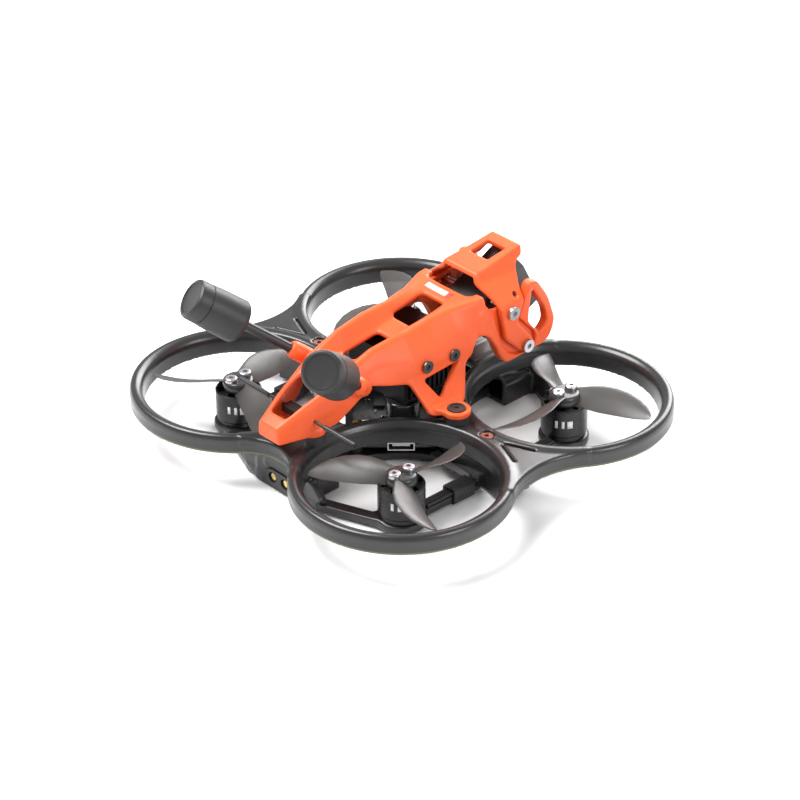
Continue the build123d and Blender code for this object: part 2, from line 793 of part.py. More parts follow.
def leg(side):
    """Sloping side sheet that runs down to a foot."""
    profile = [
        (SHELL_X - SHELL_WALL, 0, LEG_Z1 + 0.6),
        (SHELL_X, 0, LEG_Z1 + 0.6),
        (SHELL_X, 0, LEG_Z1),
        (20.4, 0, 17.6),
        (18.4, 0, 17.6),
        (SHELL_X - SHELL_WALL, 0, 24.6),
    ]
    face = make_face(Polyline(*profile, close=True))
    sheet = Pos(0, -7.4, 0) * extrude(face, 15.6, dir=(0, 1, 0))
    taper = side_plate([(-7.4, 17.0), (5.0, 17.0), (8.2, 27.0), (-7.4, 27.0)], 10, 22)
    sheet = sheet & taper
    return sheet if side > 0 else mirror(sheet, Plane.YZ)


def canopy_hollow():
    """Space inside the canopy."""
    wall = SHELL_WALL
    side = [(-46.0, 10.0)]
    side += [(y + 0.3, z - wall - 0.2) for y, z in TOP_LINE[1:]]
    side += [(30.0, 38.4), (30.0, 10.0)]
    space = side_plate(side, -30, 30)
    plan = [
        (2.4, -44.0),
        (3.6, -43.0),
        (8.0, -30.0),
        (11.0, -18.0),
        (SHELL_X - wall, -8.0),
        (SHELL_X - wall, 30.0),
    ]
    plan += [(-x, y) for x, y in reversed(plan)]
    space = space & plate(plan, 0, 60)
    inner = SHELL_X - wall
    section = [(-inner, 0), (inner, 0), (inner, 30.4), (7.0, 39.6), (-7.0, 39.6), (-inner, 30.4)]
    face = make_face(Polyline(*[(x, 0, z) for x, z in section], close=True))
    space = space & extrude(face, 60, both=True, dir=(0, 1, 0))
    return space - valley(wall, VALLEY_X + wall)


def cheek(side):
    """Side plate that carries the camera bracket, with its bumper loop."""
    outline = [
        (17.6, 29.6),
        (18.8, 35.5),
        (24.0, 37.6),
        (31.0, 40.4),
        (38.1, 39.9),
        (42.6, 33.0),
        (45.4, 25.4),
        (44.0, 21.0),
        (41.8, 19.0),
        (26.4, 18.0),
        (22.6, 23.2),
    ]
    sheet = side_plate(outline, CHEEK_IN, CHEEK_X)
    loop = side_plate([(36.2, 38.0), (41.6, 29.4), (42.4, 25.2), (39.4, 22.6), (35.8, 27.0)], 5, 20)
    visor_space = [
        (18.5, 35.4),
        (24.0, 35.7),
        (28.0, 36.1),
        (33.4, 36.4),
        (34.6, 39.0),
        (38.6, 44.5),
        (18.5, 45.0),
    ]
    sheet = sheet - loop - side_plate(visor_space, 5, 20)
    sheet = sheet - cross_rod(PIVOT[0], PIVOT[1], 5, 20, SCREW_R + 0.05)
    radius = math.hypot(UPPER_SCREW[0] - PIVOT[0], UPPER_SCREW[1] - PIVOT[1])
    start = math.degrees(math.atan2(UPPER_SCREW[1] - PIVOT[1], UPPER_SCREW[0] - PIVOT[0]))
    for step in range(-3, 5):
        angle = math.radians(start + 1.2 * step)
        y = PIVOT[0] + radius * math.cos(angle)
        z = PIVOT[1] + radius * math.sin(angle)
        sheet = sheet - cross_rod(y, z, 5, 20, SCREW_R + 0.2)
    return sheet if side > 0 else mirror(sheet, Plane.YZ)


def aerial_point(side, distance):
    """Point on an aerial's axis, measured outward from its clamp."""
    dx, dy, dz = AERIAL_DIR
    x, y, z = CLAMP
    return side * (x + dx * distance), y + dy * distance, z + dz * distance


def canopy():
    """Orange shell: body, tail loop, feet, ears, cheeks and aerial clamps."""
    shell = canopy_block() - valley(0.0, VALLEY_X)
    shell = shell - canopy_hollow()
    shell = shell - block(-2.6, 2.6, -19.6, -6.4, 20, 50)
    shell = shell - block(-4.5, 4.5, 0.6, 12.2, 30, 50)
    tail = [(2.8, -44.2), (3.3, -43.0), (4.7, -36.0), (4.9, -32.5), (3.4, -30.6)]
    tail = plate(tail + [(-x, y) for x, y in reversed(tail)], 0, 60)
    shell = shell - tail
    window = side_plate([(-4.2, 25.0), (7.2, 25.5), (-2.2, 20.4)], -30, 30)
    window = fillet(window.edges().filter_by(Axis.X), 0.6)
    shell = largest(shell)
    for side in (-1, 1):
        foot = plate([(18.6, -7.0), (18.6, 4.8), (21.5, 2.6), (21.5, -4.6)], 17.6, 19.2)
        foot = foot + rod(FOOT_X, FOOT_Y, 17.6, 19.2, FOOT_R) - rod(FOOT_X, FOOT_Y, 0, 40, 2.5)
        ear = block(4.4, EAR_X, EAR_Y - 1.6, EAR_Y + 1.6, EAR_Z, EAR_Z + 1.6)
        ear = ear + rod(EAR_X, EAR_Y, EAR_Z, EAR_Z + 1.6, 2.6) + rod(EAR_X, EAR_Y, 16.9, EAR_Z, SCREW_R)
        if side < 0:
            foot = mirror(foot, Plane.YZ)
            ear = mirror(ear, Plane.YZ)
        clamp = rod_between(aerial_point(side, -3.2), aerial_point(side, 2.6), 2.5)
        shell = shell + foot + (leg(side) - window) + ear + clamp + cheek(side)
        shell = shell - rod_between(aerial_point(side, -5.0), aerial_point(side, 6.0), ROD_R)
    shell = shell - cross_rod(RX_Y, RX_Z, -20, 20, 0.62)
    for y, z in ((-3.2, 28.9), (6.7, 28.7)):
        shell = shell - cross_rod(y, z, -20, 20, SCREW_R + 0.02)
    return shell


def canopy_posts():
    """Rubber grommets in the feet and rubber posts under the ears."""
    pieces = []
    for side in (-1, 1):
        x = side * FOOT_X
        ring = tube(x, FOOT_Y, DECK_Z1, 17.55, 3.3, SCREW_R + 0.05)
        ring = ring + tube(x, FOOT_Y, 17.55, GROMMET_SEAT, 2.45, SCREW_R + 0.05)
        pieces.append(ring + tube(x, FOOT_Y, GROMMET_SEAT, 19.5, 2.45, 1.85))
        x = side * EAR_X
        post = rod(x, EAR_Y, DECK_Z1 + 0.5, EAR_Z - 0.05, 2.7)
        pieces.append(post - rod(x, EAR_Y, 16.8, 30, SCREW_R + 0.05))
    return pieces


def canopy_screws():
    """Screws that hold the canopy's feet to their grommets."""
    pieces = []
    for side in (-1, 1):
        x, y, top = side * FOOT_X, FOOT_Y, GROMMET_SEAT
        screw = rod(x, y, 15.1, top, SCREW_R) + rod(x, y, top, top + 0.7, 1.8)
        socket = Pos(x, y, top + 0.3) * extrude(RegularPolygon(0.75, 6), 2)
        pieces.append(screw - socket)
    return pieces


def side_screws():
    """Two screws each side that hold the transmitter in the canopy."""
    pieces = []
    for side in (-1, 1):
        for y, z in ((-3.2, 28.9), (6.7, 28.7)):
            x0, x1 = sorted((side * (VTX[0] + 0.05), side * SHELL_X))
            screw = cross_rod(y, z, x0, x1, SCREW_R)
            x0, x1 = sorted((side * SHELL_X, side * (SHELL_X + 0.35)))
            screw = screw + cross_rod(y, z, x0, x1, 1.8)
            x0, x1 = sorted((side * (SHELL_X - 0.3), side * (SHELL_X + 2)))
            pieces.append(screw - cross_rod(y, z, x0, x1, 0.7))
    return pieces


# ---------------------------------------------------------------- camera


def camera_frame(shape):
    """Tilt a piece drawn level about the camera's centre."""
    y, z = 33.0, 31.0
    return Pos(0, y, z) * Rot(CAMERA_TILT, 0, 0) * shape


def bracket_side(margin):
    """Side outline of the bracket; the margin lowers its top edge."""
    return [
        (30.4, 19.6),
        (31.5, 18.6),
        (36.4, 18.8),
        (36.9, 22.4),
        (30.3, 30.0),
        (33.3, 38.4),
        (37.5, 44.0),
        (39.6, 44.6),
        (40.3, 47.3 - margin),
        (29.6, 45.6 - margin),
        (22.2, 44.7 - margin),
        (21.2, 41.6),
        (23.1, 38.4),
        (25.7, 26.0),
    ]


def bracket_section(wall):
    """Section of the bracket across the drone, drawn inside by a wall."""
    half = [
        (ARM_X1 - wall, 10.0),
        (ARM_X1 - wall, 36.6 - 0.06 * wall),
        (7.4 - 0.8 * wall, 42.6 - 0.45 * wall),
        (5.9 - wall, 46.0),
        (5.2 - wall, 48.5),
    ]
    points = half + [(-x, z) for x, z in reversed(half)]
    face = make_face(Polyline(*[(x, 0, z) for x, z in points], close=True))
    return extrude(face, 60, both=True, dir=(0, 1, 0))


def camera_bracket():
    """Orange bracket: two arms outside the cheeks, leaning panels and a narrow visor."""
    wall = ARM_X1 - ARM_X0
    bracket = side_plate(bracket_side(0.0), -ARM_X1, ARM_X1) & bracket_section(0.0)
    space = [(15.0, 10.0), (15.0, 42.0), (21.0, 43.2), (29.6, 44.1), (41.0, 45.9), (50.0, 45.9), (50.0, 10.0)]
    bracket = bracket - (side_plate(space, -30, 30) & bracket_section(wall))
    bracket = bracket - block(-3.3, 3.3, 29.3, 36.2, 40, 50)
    for y, z, radius in (PIVOT + (SCREW_R + 0.02,), UPPER_SCREW + (SCREW_R + 0.02,), (30.6, 37.9, 0.7)):
        bracket = bracket - cross_rod(y, z, -20, 20, radius)
    return bracket


def camera_hood(half, height, reach):
    """Block with sloping upper corners, along the lens."""
    points = [(-half, -height), (half, -height), (half, 5.6), (half - 2.6, height), (2.6 - half, height), (-half, 5.6)]
    face = make_face(Polyline(*[(x, 0, z) for x, z in points], close=True))
    return extrude(face, reach, both=True, dir=(0, 1, 0))


def camera_body():
    """Square black camera case."""
    half = CAMERA_HALF
    case = Pos(0, 0, -1.05) * Box(2 * half, 13.0, 2 * half + 3.1)
    case = fillet(case.edges().filter_by(Axis.Y), 1.4)
    case = case + Pos(0, 7.2, 0) * Rot(90, 0, 0) * Cylinder(6.6, 1.6)
    hood = camera_hood(6.8, 8.5, 2.8) - camera_hood(6.0, 7.7, 4.0)
    return camera_frame(Pos(0, -1.0, 0) * case + Pos(0, 8.0, 0) * hood)


def lens_barrel():
    """Round lens barrel with its recessed front."""
    barrel = Pos(0, 9.1, 0) * Rot(90, 0, 0) * Cylinder(5.8, 4.2)
    recess = Pos(0, 10.7, 0) * Rot(90, 0, 0) * Cylinder(4.8, 1.6)
    return camera_frame(barrel - recess)


def lens_glass():
    """Front glass of the lens."""
    return camera_frame(Pos(0, 10.4, 0) * Rot(90, 0, 0) * Cylinder(4.7, 0.9))


def camera_screws():
    """Pivot and clamping screws through both arms, threaded bosses inside."""
    pieces = []
    for side in (-1, 1):
        for y, z in (PIVOT, UPPER_SCREW):
            x0, x1 = sorted((side * (CAMERA_HALF + 0.05), side * ARM_X1))
            screw = cross_rod(y, z, x0, x1, SCREW_R)
            x0, x1 = sorted((side * ARM_X1, side * (ARM_X1 + 1.1)))
            head = cross_rod(y, z, x0, x1, 1.9)
            x0, x1 = sorted((side * (ARM_X1 + 0.4), side * (ARM_X1 + 2)))
            pieces.append(screw + head - cross_rod(y, z, x0, x1, 0.75))
    return pieces


def canopy_group():
    """Canopy with its fixings, camera bracket and camera."""
    save("canopy", canopy())
    save("canopy_posts", *canopy_posts())
    save("canopy_screws", *canopy_screws())
    save("side_screws", *side_screws())
    save("camera_bracket", camera_bracket())
    save("camera_body", camera_body())
    save("lens_barrel", lens_barrel())
    save("lens_glass", lens_glass())
    save("camera_screws", *camera_screws())


def aerials():
    """Two video aerials with pods, and the control receiver's straight aerial."""
    rods, pods = [], []
    for side in (-1, 1):
        inner, outer = aerial_point(side, -2.8), aerial_point(side, POD_FROM - 0.02)
        rods.append(rod_between(inner, outer, ROD_R - 0.01))
        heading = (side * AERIAL_DIR[0], AERIAL_DIR[1], AERIAL_DIR[2])
        plane = Plane(origin=aerial_point(side, POD_FROM), z_dir=heading)
        length = POD_TO - POD_FROM
        pod = plane * Pos(0, 0, length / 2) * Cone(POD_R0, POD_R1, length)
        pod = chamfer(pod.edges().filter_by(GeomType.CIRCLE), 0.9)
        pods.append(pod)
    save("aerial_rods", *rods)
    save("aerial_pods", *pods)
    wire = cross_rod(RX_Y, RX_Z, -RX_X, RX_X, 0.45)
    thick = []
    for side in (-1, 1):
        x0, x1 = sorted((side * 11.2, side * (RX_X - 0.3)))
        thick.append(cross_rod(RX_Y, RX_Z, x0, x1, 0.7))
    wire = wire + thick[0] + thick[1]
    wire = wire + block(-4.2, 4.2, RX_Y - 1.7, RX_Y + 1.7, RX_Z - 0.9, RX_Z + 0.9)
    save("receiver_aerial", wire)


def main():
    """Build every piece."""
    os.makedirs(OUT, exist_ok=True)
    airframe()
    motor_group()
    electronics()
    canopy_group()
    aerials()


main()
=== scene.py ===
"""Looks of a ducted two-inch racing drone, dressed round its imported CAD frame.

Sizes in the classes are millimetres in the drone's own frame: +Y forward, +X right, +Z up.
Meshes are turned into metres when they are made.
"""

import logging
import math
from dataclasses import dataclass, field
from enum import Enum
from typing import Callable, Sequence

import bpy
import numpy as np
from mathutils import Matrix, Vector


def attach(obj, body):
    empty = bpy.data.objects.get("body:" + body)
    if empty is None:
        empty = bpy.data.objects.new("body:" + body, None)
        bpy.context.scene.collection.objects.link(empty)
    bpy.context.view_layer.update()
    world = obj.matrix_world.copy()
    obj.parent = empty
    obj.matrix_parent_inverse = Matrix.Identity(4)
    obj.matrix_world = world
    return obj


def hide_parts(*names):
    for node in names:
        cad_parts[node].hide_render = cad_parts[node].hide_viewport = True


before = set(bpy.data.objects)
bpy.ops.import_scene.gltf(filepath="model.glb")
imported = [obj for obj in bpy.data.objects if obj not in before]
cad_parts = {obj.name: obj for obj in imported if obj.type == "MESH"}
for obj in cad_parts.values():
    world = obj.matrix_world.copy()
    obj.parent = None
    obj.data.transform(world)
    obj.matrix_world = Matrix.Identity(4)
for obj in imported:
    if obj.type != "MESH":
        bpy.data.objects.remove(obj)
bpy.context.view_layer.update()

LOG = logging.getLogger("drone")
MM = 0.001
COAT_ROUGHNESS = 0.12

Array = np.ndarray
Field = Callable[[Array, Array, Array], Array]
Point2 = tuple[float, float]
Point3 = tuple[float, float, float]
Colour = tuple[float, float, float]


# ---------------------------------------------------------------- solid fields


def join(a: Array, b: Array, fillet: float = 0.0) -> Array:
    """Union of two signed distances, with a fillet where they meet.

    Args:
        a: First distance.
        b: Second distance.
        fillet: Width of the blend in millimetres.

    Returns:
        Distance to the joined shape.
    """
    if fillet <= 0.0:
        return np.minimum(a, b)
    share = np.clip(0.5 + 0.5 * (b - a) / fillet, 0.0, 1.0)
    return b * (1.0 - share) + a * share - fillet * share * (1.0 - share)


def meet(a: Array, b: Array, fillet: float = 0.0) -> Array:
    """Intersection of two signed distances, with a rounded edge."""
    return -join(-a, -b, fillet)


def cut(a: Array, b: Array, fillet: float = 0.0) -> Array:
    """First shape without the second, with a rounded edge."""
    return meet(a, -b, fillet)


def slab(value: Array, low: float, high: float) -> Array:
    """Distance to the space between two parallel planes."""
    return np.abs(value - (low + high) / 2) - (high - low) / 2


def cuboid(x: Array, y: Array, z: Array, low: Point3, high: Point3, edge: float = 0.0) -> Array:
    """Distance to a box between two corners."""
    flat = meet(slab(x, low[0], high[0]), slab(y, low[1], high[1]), edge)
    return meet(flat, slab(z, low[2], high[2]), edge)


def bar(u: Array, v: Array, start: Point2, end: Point2, half: float) -> Array:
    """Distance to a straight bar with round ends, in a plane.

    Args:
        u: First plane coordinate.
        v: Second plane coordinate.
        start: One end of the bar's middle line.
        end: Other end of the bar's middle line.
        half: Half of the bar's width.

    Returns:
        Distance to the bar.
    """
    du, dv = end[0] - start[0], end[1] - start[1]
    along = ((u - start[0]) * du + (v - start[1]) * dv) / (du * du + dv * dv)
    along = np.clip(along, 0.0, 1.0)
    return np.hypot(u - start[0] - along * du, v - start[1] - along * dv) - half


def capsule(x: Array, y: Array, z: Array, start: Point3, end: Point3, radius: float) -> Array:
    """Distance to a round rod between two points.

    Args:
        x: First coordinate.
        y: Second coordinate.
        z: Third coordinate.
        start: One end of the middle line.
        end: Other end of the middle line.
        radius: Rod's radius.

    Returns:
        Distance to the rod.
    """
    dx, dy, dz = (end[i] - start[i] for i in range(3))
    wx, wy, wz = x - start[0], y - start[1], z - start[2]
    along = np.clip((wx * dx + wy * dy + wz * dz) / (dx * dx + dy * dy + dz * dz), 0.0, 1.0)
    return np.sqrt((wx - along * dx) ** 2 + (wy - along * dy) ** 2 + (wz - along * dz) ** 2) - radius


def mirrored(half: Sequence[Point2]) -> tuple[Point2, ...]:
    """Points of one side, and then the same points back along the other side."""
    return (*half, *((-u, v) for u, v in reversed(half)))


@dataclass(frozen=True)
class Outline:
    """Closed outline in a plane, with its corners rounded off."""

    corners: Sequence[Point2]
    rounding: float = 0.0
    steps: int = 3

    def rounded(self) -> list[Point2]:
        """Corners replaced by short arcs.

        Returns:
            The points of the rounded outline.
        """
        if self.rounding <= 0.0:
            return list(self.corners)
        points: list[Point2] = []
        count = len(self.corners)
        for index, corner in enumerate(self.corners):
            here = np.array(corner, float)
            before = np.array(self.corners[index - 1], float) - here
            after = np.array(self.corners[(index + 1) % count], float) - here
            start = here + before * min(0.45, self.rounding / np.linalg.norm(before))
            end = here + after * min(0.45, self.rounding / np.linalg.norm(after))
            for step in range(self.steps + 1):
                t = step / self.steps
                spot = start * (1 - t) ** 2 + here * 2 * t * (1 - t) + end * t**2
                points.append((float(spot[0]), float(spot[1])))
        return points

    def distance(self, u: Array, v: Array) -> Array:
        """Signed distance from plane points to the outline.

        Args:
            u: First plane coordinate.
            v: Second plane coordinate.

        Returns:
            Distance, negative inside.
        """
        u, v = np.broadcast_arrays(u, v)
        best = np.full(u.shape, 1e9, np.float32)
        inside = np.zeros(u.shape, bool)
        points = self.rounded()
        for (u0, v0), (u1, v1) in zip(points, points[1:] + points[:1]):
            du, dv = u1 - u0, v1 - v0
            wu, wv = u - u0, v - v0
            along = np.clip((wu * du + wv * dv) / (du * du + dv * dv + 1e-12), 0.0, 1.0)
            best = np.minimum(best, (wu - along * du) ** 2 + (wv - along * dv) ** 2)
            if v0 != v1:
                crossed = ((v0 > v) != (v1 > v)) & (u < du * wv / dv + u0)
                inside = inside ^ crossed
        root = np.sqrt(best)
        return np.where(inside, -root, root)


@dataclass(frozen=True)
class Skin:
    """Turns a solid field into a smooth closed mesh of quads."""

    low: Point3
    high: Point3
    step: float = 0.45
    polish: int = 3

    def axes(self) -> list[Array]:
        """Grid coordinates along X, Y and Z.

        Returns:
            Three rows of coordinates.
        """
        return [
            np.arange(a - 2 * self.step, b + 3 * self.step, self.step, dtype=np.float32)
            for a, b in zip(self.low, self.high)
        ]

    def mesh(self, shape: Field) -> tuple[Array, Array]:
        """Mesh the zero surface of a field.

        Args:
            shape: Signed distance of X, Y and Z.

        Returns:
            Points, and quads as rows of four point numbers.
        """
        ax, ay, az = self.axes()
        size = (len(ax), len(ay), len(az))
        values = np.broadcast_to(shape(ax[:, None, None], ay[None, :, None], az[None, None, :]), size)
        values = np.ascontiguousarray(values, np.float32)
        cells = tuple(n - 1 for n in size)
        total = np.zeros(cells + (3,), np.float32)
        count = np.zeros(cells, np.float32)
        crossings: list[Array] = []
        for axis in range(3):
            near = [slice(None)] * 3
            far = [slice(None)] * 3
            near[axis], far[axis] = slice(0, -1), slice(1, None)
            a, b = values[tuple(near)], values[tuple(far)]
            crossed = (a < 0) != (b < 0)
            share = np.where(crossed, a / np.where(a == b, 1.0, a - b), 0.0)
            crossings.append(crossed)
            others = [i for i in range(3) if i != axis]
            for first in (0, 1):
                for second in (0, 1):
                    window = [slice(None)] * 3
                    window[others[0]] = slice(first, first + cells[others[0]])
                    window[others[1]] = slice(second, second + cells[others[1]])
                    hit = crossed[tuple(window)]
                    count += hit
                    total[..., axis] += share[tuple(window)]
                    total[..., others[0]] += hit * first
                    total[..., others[1]] += hit * second
        active = count > 0
        number = np.full(cells, -1, np.int64)
        number[active] = np.arange(int(active.sum()))
        spots = np.argwhere(active) + total[active] / count[active][:, None]
        origin = np.array([ax[0], ay[0], az[0]])
        points = spots * self.step + origin
        quads = [self.faces(axis, crossings[axis], values, number) for axis in range(3)]
        return self.settle(shape, points), np.concatenate(quads)

    def faces(self, axis: int, crossed: Array, values: Array, number: Array) -> Array:
        """Quads round the grid edges of one direction that cross the surface.

        Args:
            axis: Direction of the grid edges.
            crossed: Which edges cross the surface.
            values: Field at the grid points.
            number: Point number of each cell.

        Returns:
            Rows of four point numbers.
        """
        u, v = [(1, 2), (2, 0), (0, 1)][axis]
        spots = np.argwhere(crossed)
        inner = (spots[:, u] > 0) & (spots[:, v] > 0)
        inner &= (spots[:, u] < number.shape[u]) & (spots[:, v] < number.shape[v])
        spots = spots[inner]
        ring = []
        for du, dv in ((-1, -1), (0, -1), (0, 0), (-1, 0)):
            cell = spots.copy()
            cell[:, u] += du
            cell[:, v] += dv
            ring.append(number[tuple(cell.T)])
        quads = np.stack(ring, axis=1)
        outward = values[tuple(spots.T)] < 0
        quads[~outward] = quads[~outward][:, ::-1]
        return quads

    def settle(self, shape: Field, points: Array) -> Array:
        """Move points straight onto the zero surface.

        Args:
            shape: Signed distance of X, Y and Z.
            points: Points near the surface.

        Returns:
            Points on the surface.
        """
        reach = 0.03
        for _ in range(self.polish):
            here = shape(*points.T)
            slope = np.stack(
                [
                    (shape(*(points + reach * side).T) - shape(*(points - reach * side).T)) / (2 * reach)
                    for side in np.eye(3)
                ],
                axis=1,
            )
            size = np.maximum((slope**2).sum(axis=1), 0.2)
            move = -slope * (here / size)[:, None]
            length = np.linalg.norm(move, axis=1, keepdims=True)
            points = points + move * np.minimum(1.0, 0.5 * self.step / np.maximum(length, 1e-9))
        return points


# ---------------------------------------------------------------- meshes


@dataclass
class MeshMaker:
    """Collects points and faces in millimetres and makes one object."""

    points: list[Point3] = field(default_factory=list)
    faces: list[tuple[int, ...]] = field(default_factory=list)

    def add(self, points: Sequence[Point3], faces: Sequence[tuple[int, ...]]) -> None:
        """Add one patch of points and faces.

        Args:
            points: Points in millimetres.
            faces: Point numbers of each face, counted from this patch's first point.
        """
        base = len(self.points)
        self.points.extend(tuple(map(float, p)) for p in points)
        self.faces.extend(tuple(base + i for i in face) for face in faces)

    def rings(self, rings: Sequence[Sequence[Point3]]) -> None:
        """Skin a row of closed rings with the same number of points, and close both ends.

        Args:
            rings: Rings of points in order.
        """
        count = len(rings[0])
        faces: list[tuple[int, ...]] = []
        for row in range(len(rings) - 1):
            for i in range(count):
                j = (i + 1) % count
                a, b = row * count, (row + 1) * count
                faces.append((a + i, a + j, b + j, b + i))
        faces.append(tuple(reversed(range(count))))
        last = (len(rings) - 1) * count
        faces.append(tuple(last + i for i in range(count)))
        self.add([p for ring in rings for p in ring], faces)

    def sheet(self, rows: Sequence[Sequence[Point3]]) -> None:
        """Skin an open grid, given as rows with the same number of points.

        Args:
            rows: Rows of points in order.
        """
        width = len(rows[0])
        starts = [i * width + j for i in range(len(rows) - 1) for j in range(width - 1)]
        faces = [(a, a + width, a + width + 1, a + 1) for a in starts]
        self.add([p for row in rows for p in row], faces)

    def turned(self, place: Matrix, profile: Sequence[Point2], count: int = 48) -> None:
        """Turn a profile of radius and height round the Z axis of a placement.

        Args:
            place: Placement of the axis.
            profile: Radius and height of each ring, from the bottom up.
            count: Points in each ring.
        """
        rings = []
        for radius, height in profile:
            ring = []
            for i in range(count):
                angle = math.tau * i / count
                spot = Vector((radius * math.cos(angle), radius * math.sin(angle), height))
                ring.append(tuple(place @ spot))
            rings.append(ring)
        self.rings(rings)

    def brick(self, place: Matrix, half: Point3, bevel: float) -> None:
        """Add a box with cut edges, as eight corners of three points each.

        Args:
            place: Placement of the middle.
            half: Half sizes.
            bevel: Width of the cut edges.
        """
        hx, hy, hz = half
        rings = []
        for z, inset in ((-hz, bevel), (-hz + bevel, 0.0), (hz - bevel, 0.0), (hz, bevel)):
            x, y = hx - inset, hy - inset
            c = bevel * 0.8
            corners = [
                (x - c, -y), (x, -y + c), (x, y - c), (x - c, y),
                (-x + c, y), (-x, y - c), (-x, -y + c), (-x + c, -y),
            ]
            rings.append([tuple(place @ Vector((a, b, z))) for a, b in corners])
        self.rings(rings)

    def build(self, name: str, smooth_angle: float = 35.0) -> bpy.types.Object:
        """Make the object in metres.

        Args:
            name: Name of the piece.
            smooth_angle: Edges sharper than this in degrees stay sharp.

        Returns:
            The new object.
        """
        return make_object(name, np.array(self.points), self.faces, smooth_angle)


def make_object(
    name: str, points: Array, faces: Sequence[Sequence[int]], smooth_angle: float
) -> bpy.types.Object:
    """Make a mesh object from millimetre points.

    Args:
        name: Name of the piece.
        points: Points in millimetres.
        faces: Point numbers of each face.
        smooth_angle: Edges sharper than this in degrees stay sharp, and 180 keeps none.

    Returns:
        The new object, linked to the scene.
    """
    mesh = bpy.data.meshes.new(name)
    rows = faces.tolist() if isinstance(faces, np.ndarray) else faces
    mesh.from_pydata((points * MM).tolist(), [], rows)
    mesh.validate()
    mesh.polygons.foreach_set("use_smooth", [True] * len(mesh.polygons))
    if smooth_angle < 180.0:
        mesh.set_sharp_from_angle(angle=math.radians(smooth_angle))
    mesh.update()
    made = bpy.data.objects.new(name, mesh)
    bpy.context.scene.collection.objects.link(made)
    return made


def thicken(piece: bpy.types.Object, thickness: float) -> None:
    """Give a sheet its thickness in millimetres."""
    piece.modifiers.new("thickness", "SOLIDIFY").thickness = thickness * MM


def skin_object(name: str, skin: Skin, shape: Field) -> bpy.types.Object:
    """Mesh a solid field and make it an object."""
    points, quads = skin.mesh(shape)
    return make_object(name, points, quads, 180.0)


# ---------------------------------------------------------------- finishes


class Surface(Enum):
    """Kinds of fine surface detail."""

    MOULDED = "fine spark-eroded grain"
    SATIN = "smooth moulding with faint flow"
    TURNED = "lathe lines round the part"
    WOUND = "windings of thin wire"
    RUBBER = "soft matt skin"
    SHEET = "rolled sheet"


@dataclass(frozen=True)
class Graph:
    """Node tree of a material under construction."""

    tree: bpy.types.NodeTree

    def add(self, kind: str) -> bpy.types.Node:
        """Add a node."""
        return self.tree.nodes.new(kind)

    def link(self, source: bpy.types.NodeSocket, target: bpy.types.NodeSocket) -> None:
        """Join two sockets."""
        self.tree.links.new(source, target)

    def noise(
        self, place: bpy.types.NodeSocket, scale: float, detail: float, stretch: Point3 = (1.0, 1.0, 1.0)
    ) -> bpy.types.NodeSocket:
        """Add a noise pattern fixed to the part.

        Args:
            place: Coordinates fixed to the part.
            scale: Cycles in a metre.
            detail: Octaves.
            stretch: Scale along each axis.

        Returns:
            The pattern's value socket.
        """
        mapping = self.add("ShaderNodeMapping")
        mapping.inputs["Scale"].default_value = stretch
        self.link(place, mapping.inputs["Vector"])
        pattern = self.add("ShaderNodeTexNoise")
        pattern.inputs["Scale"].default_value = scale
        pattern.inputs["Detail"].default_value = detail
        self.link(mapping.outputs["Vector"], pattern.inputs["Vector"])
        return pattern.outputs["Fac"]


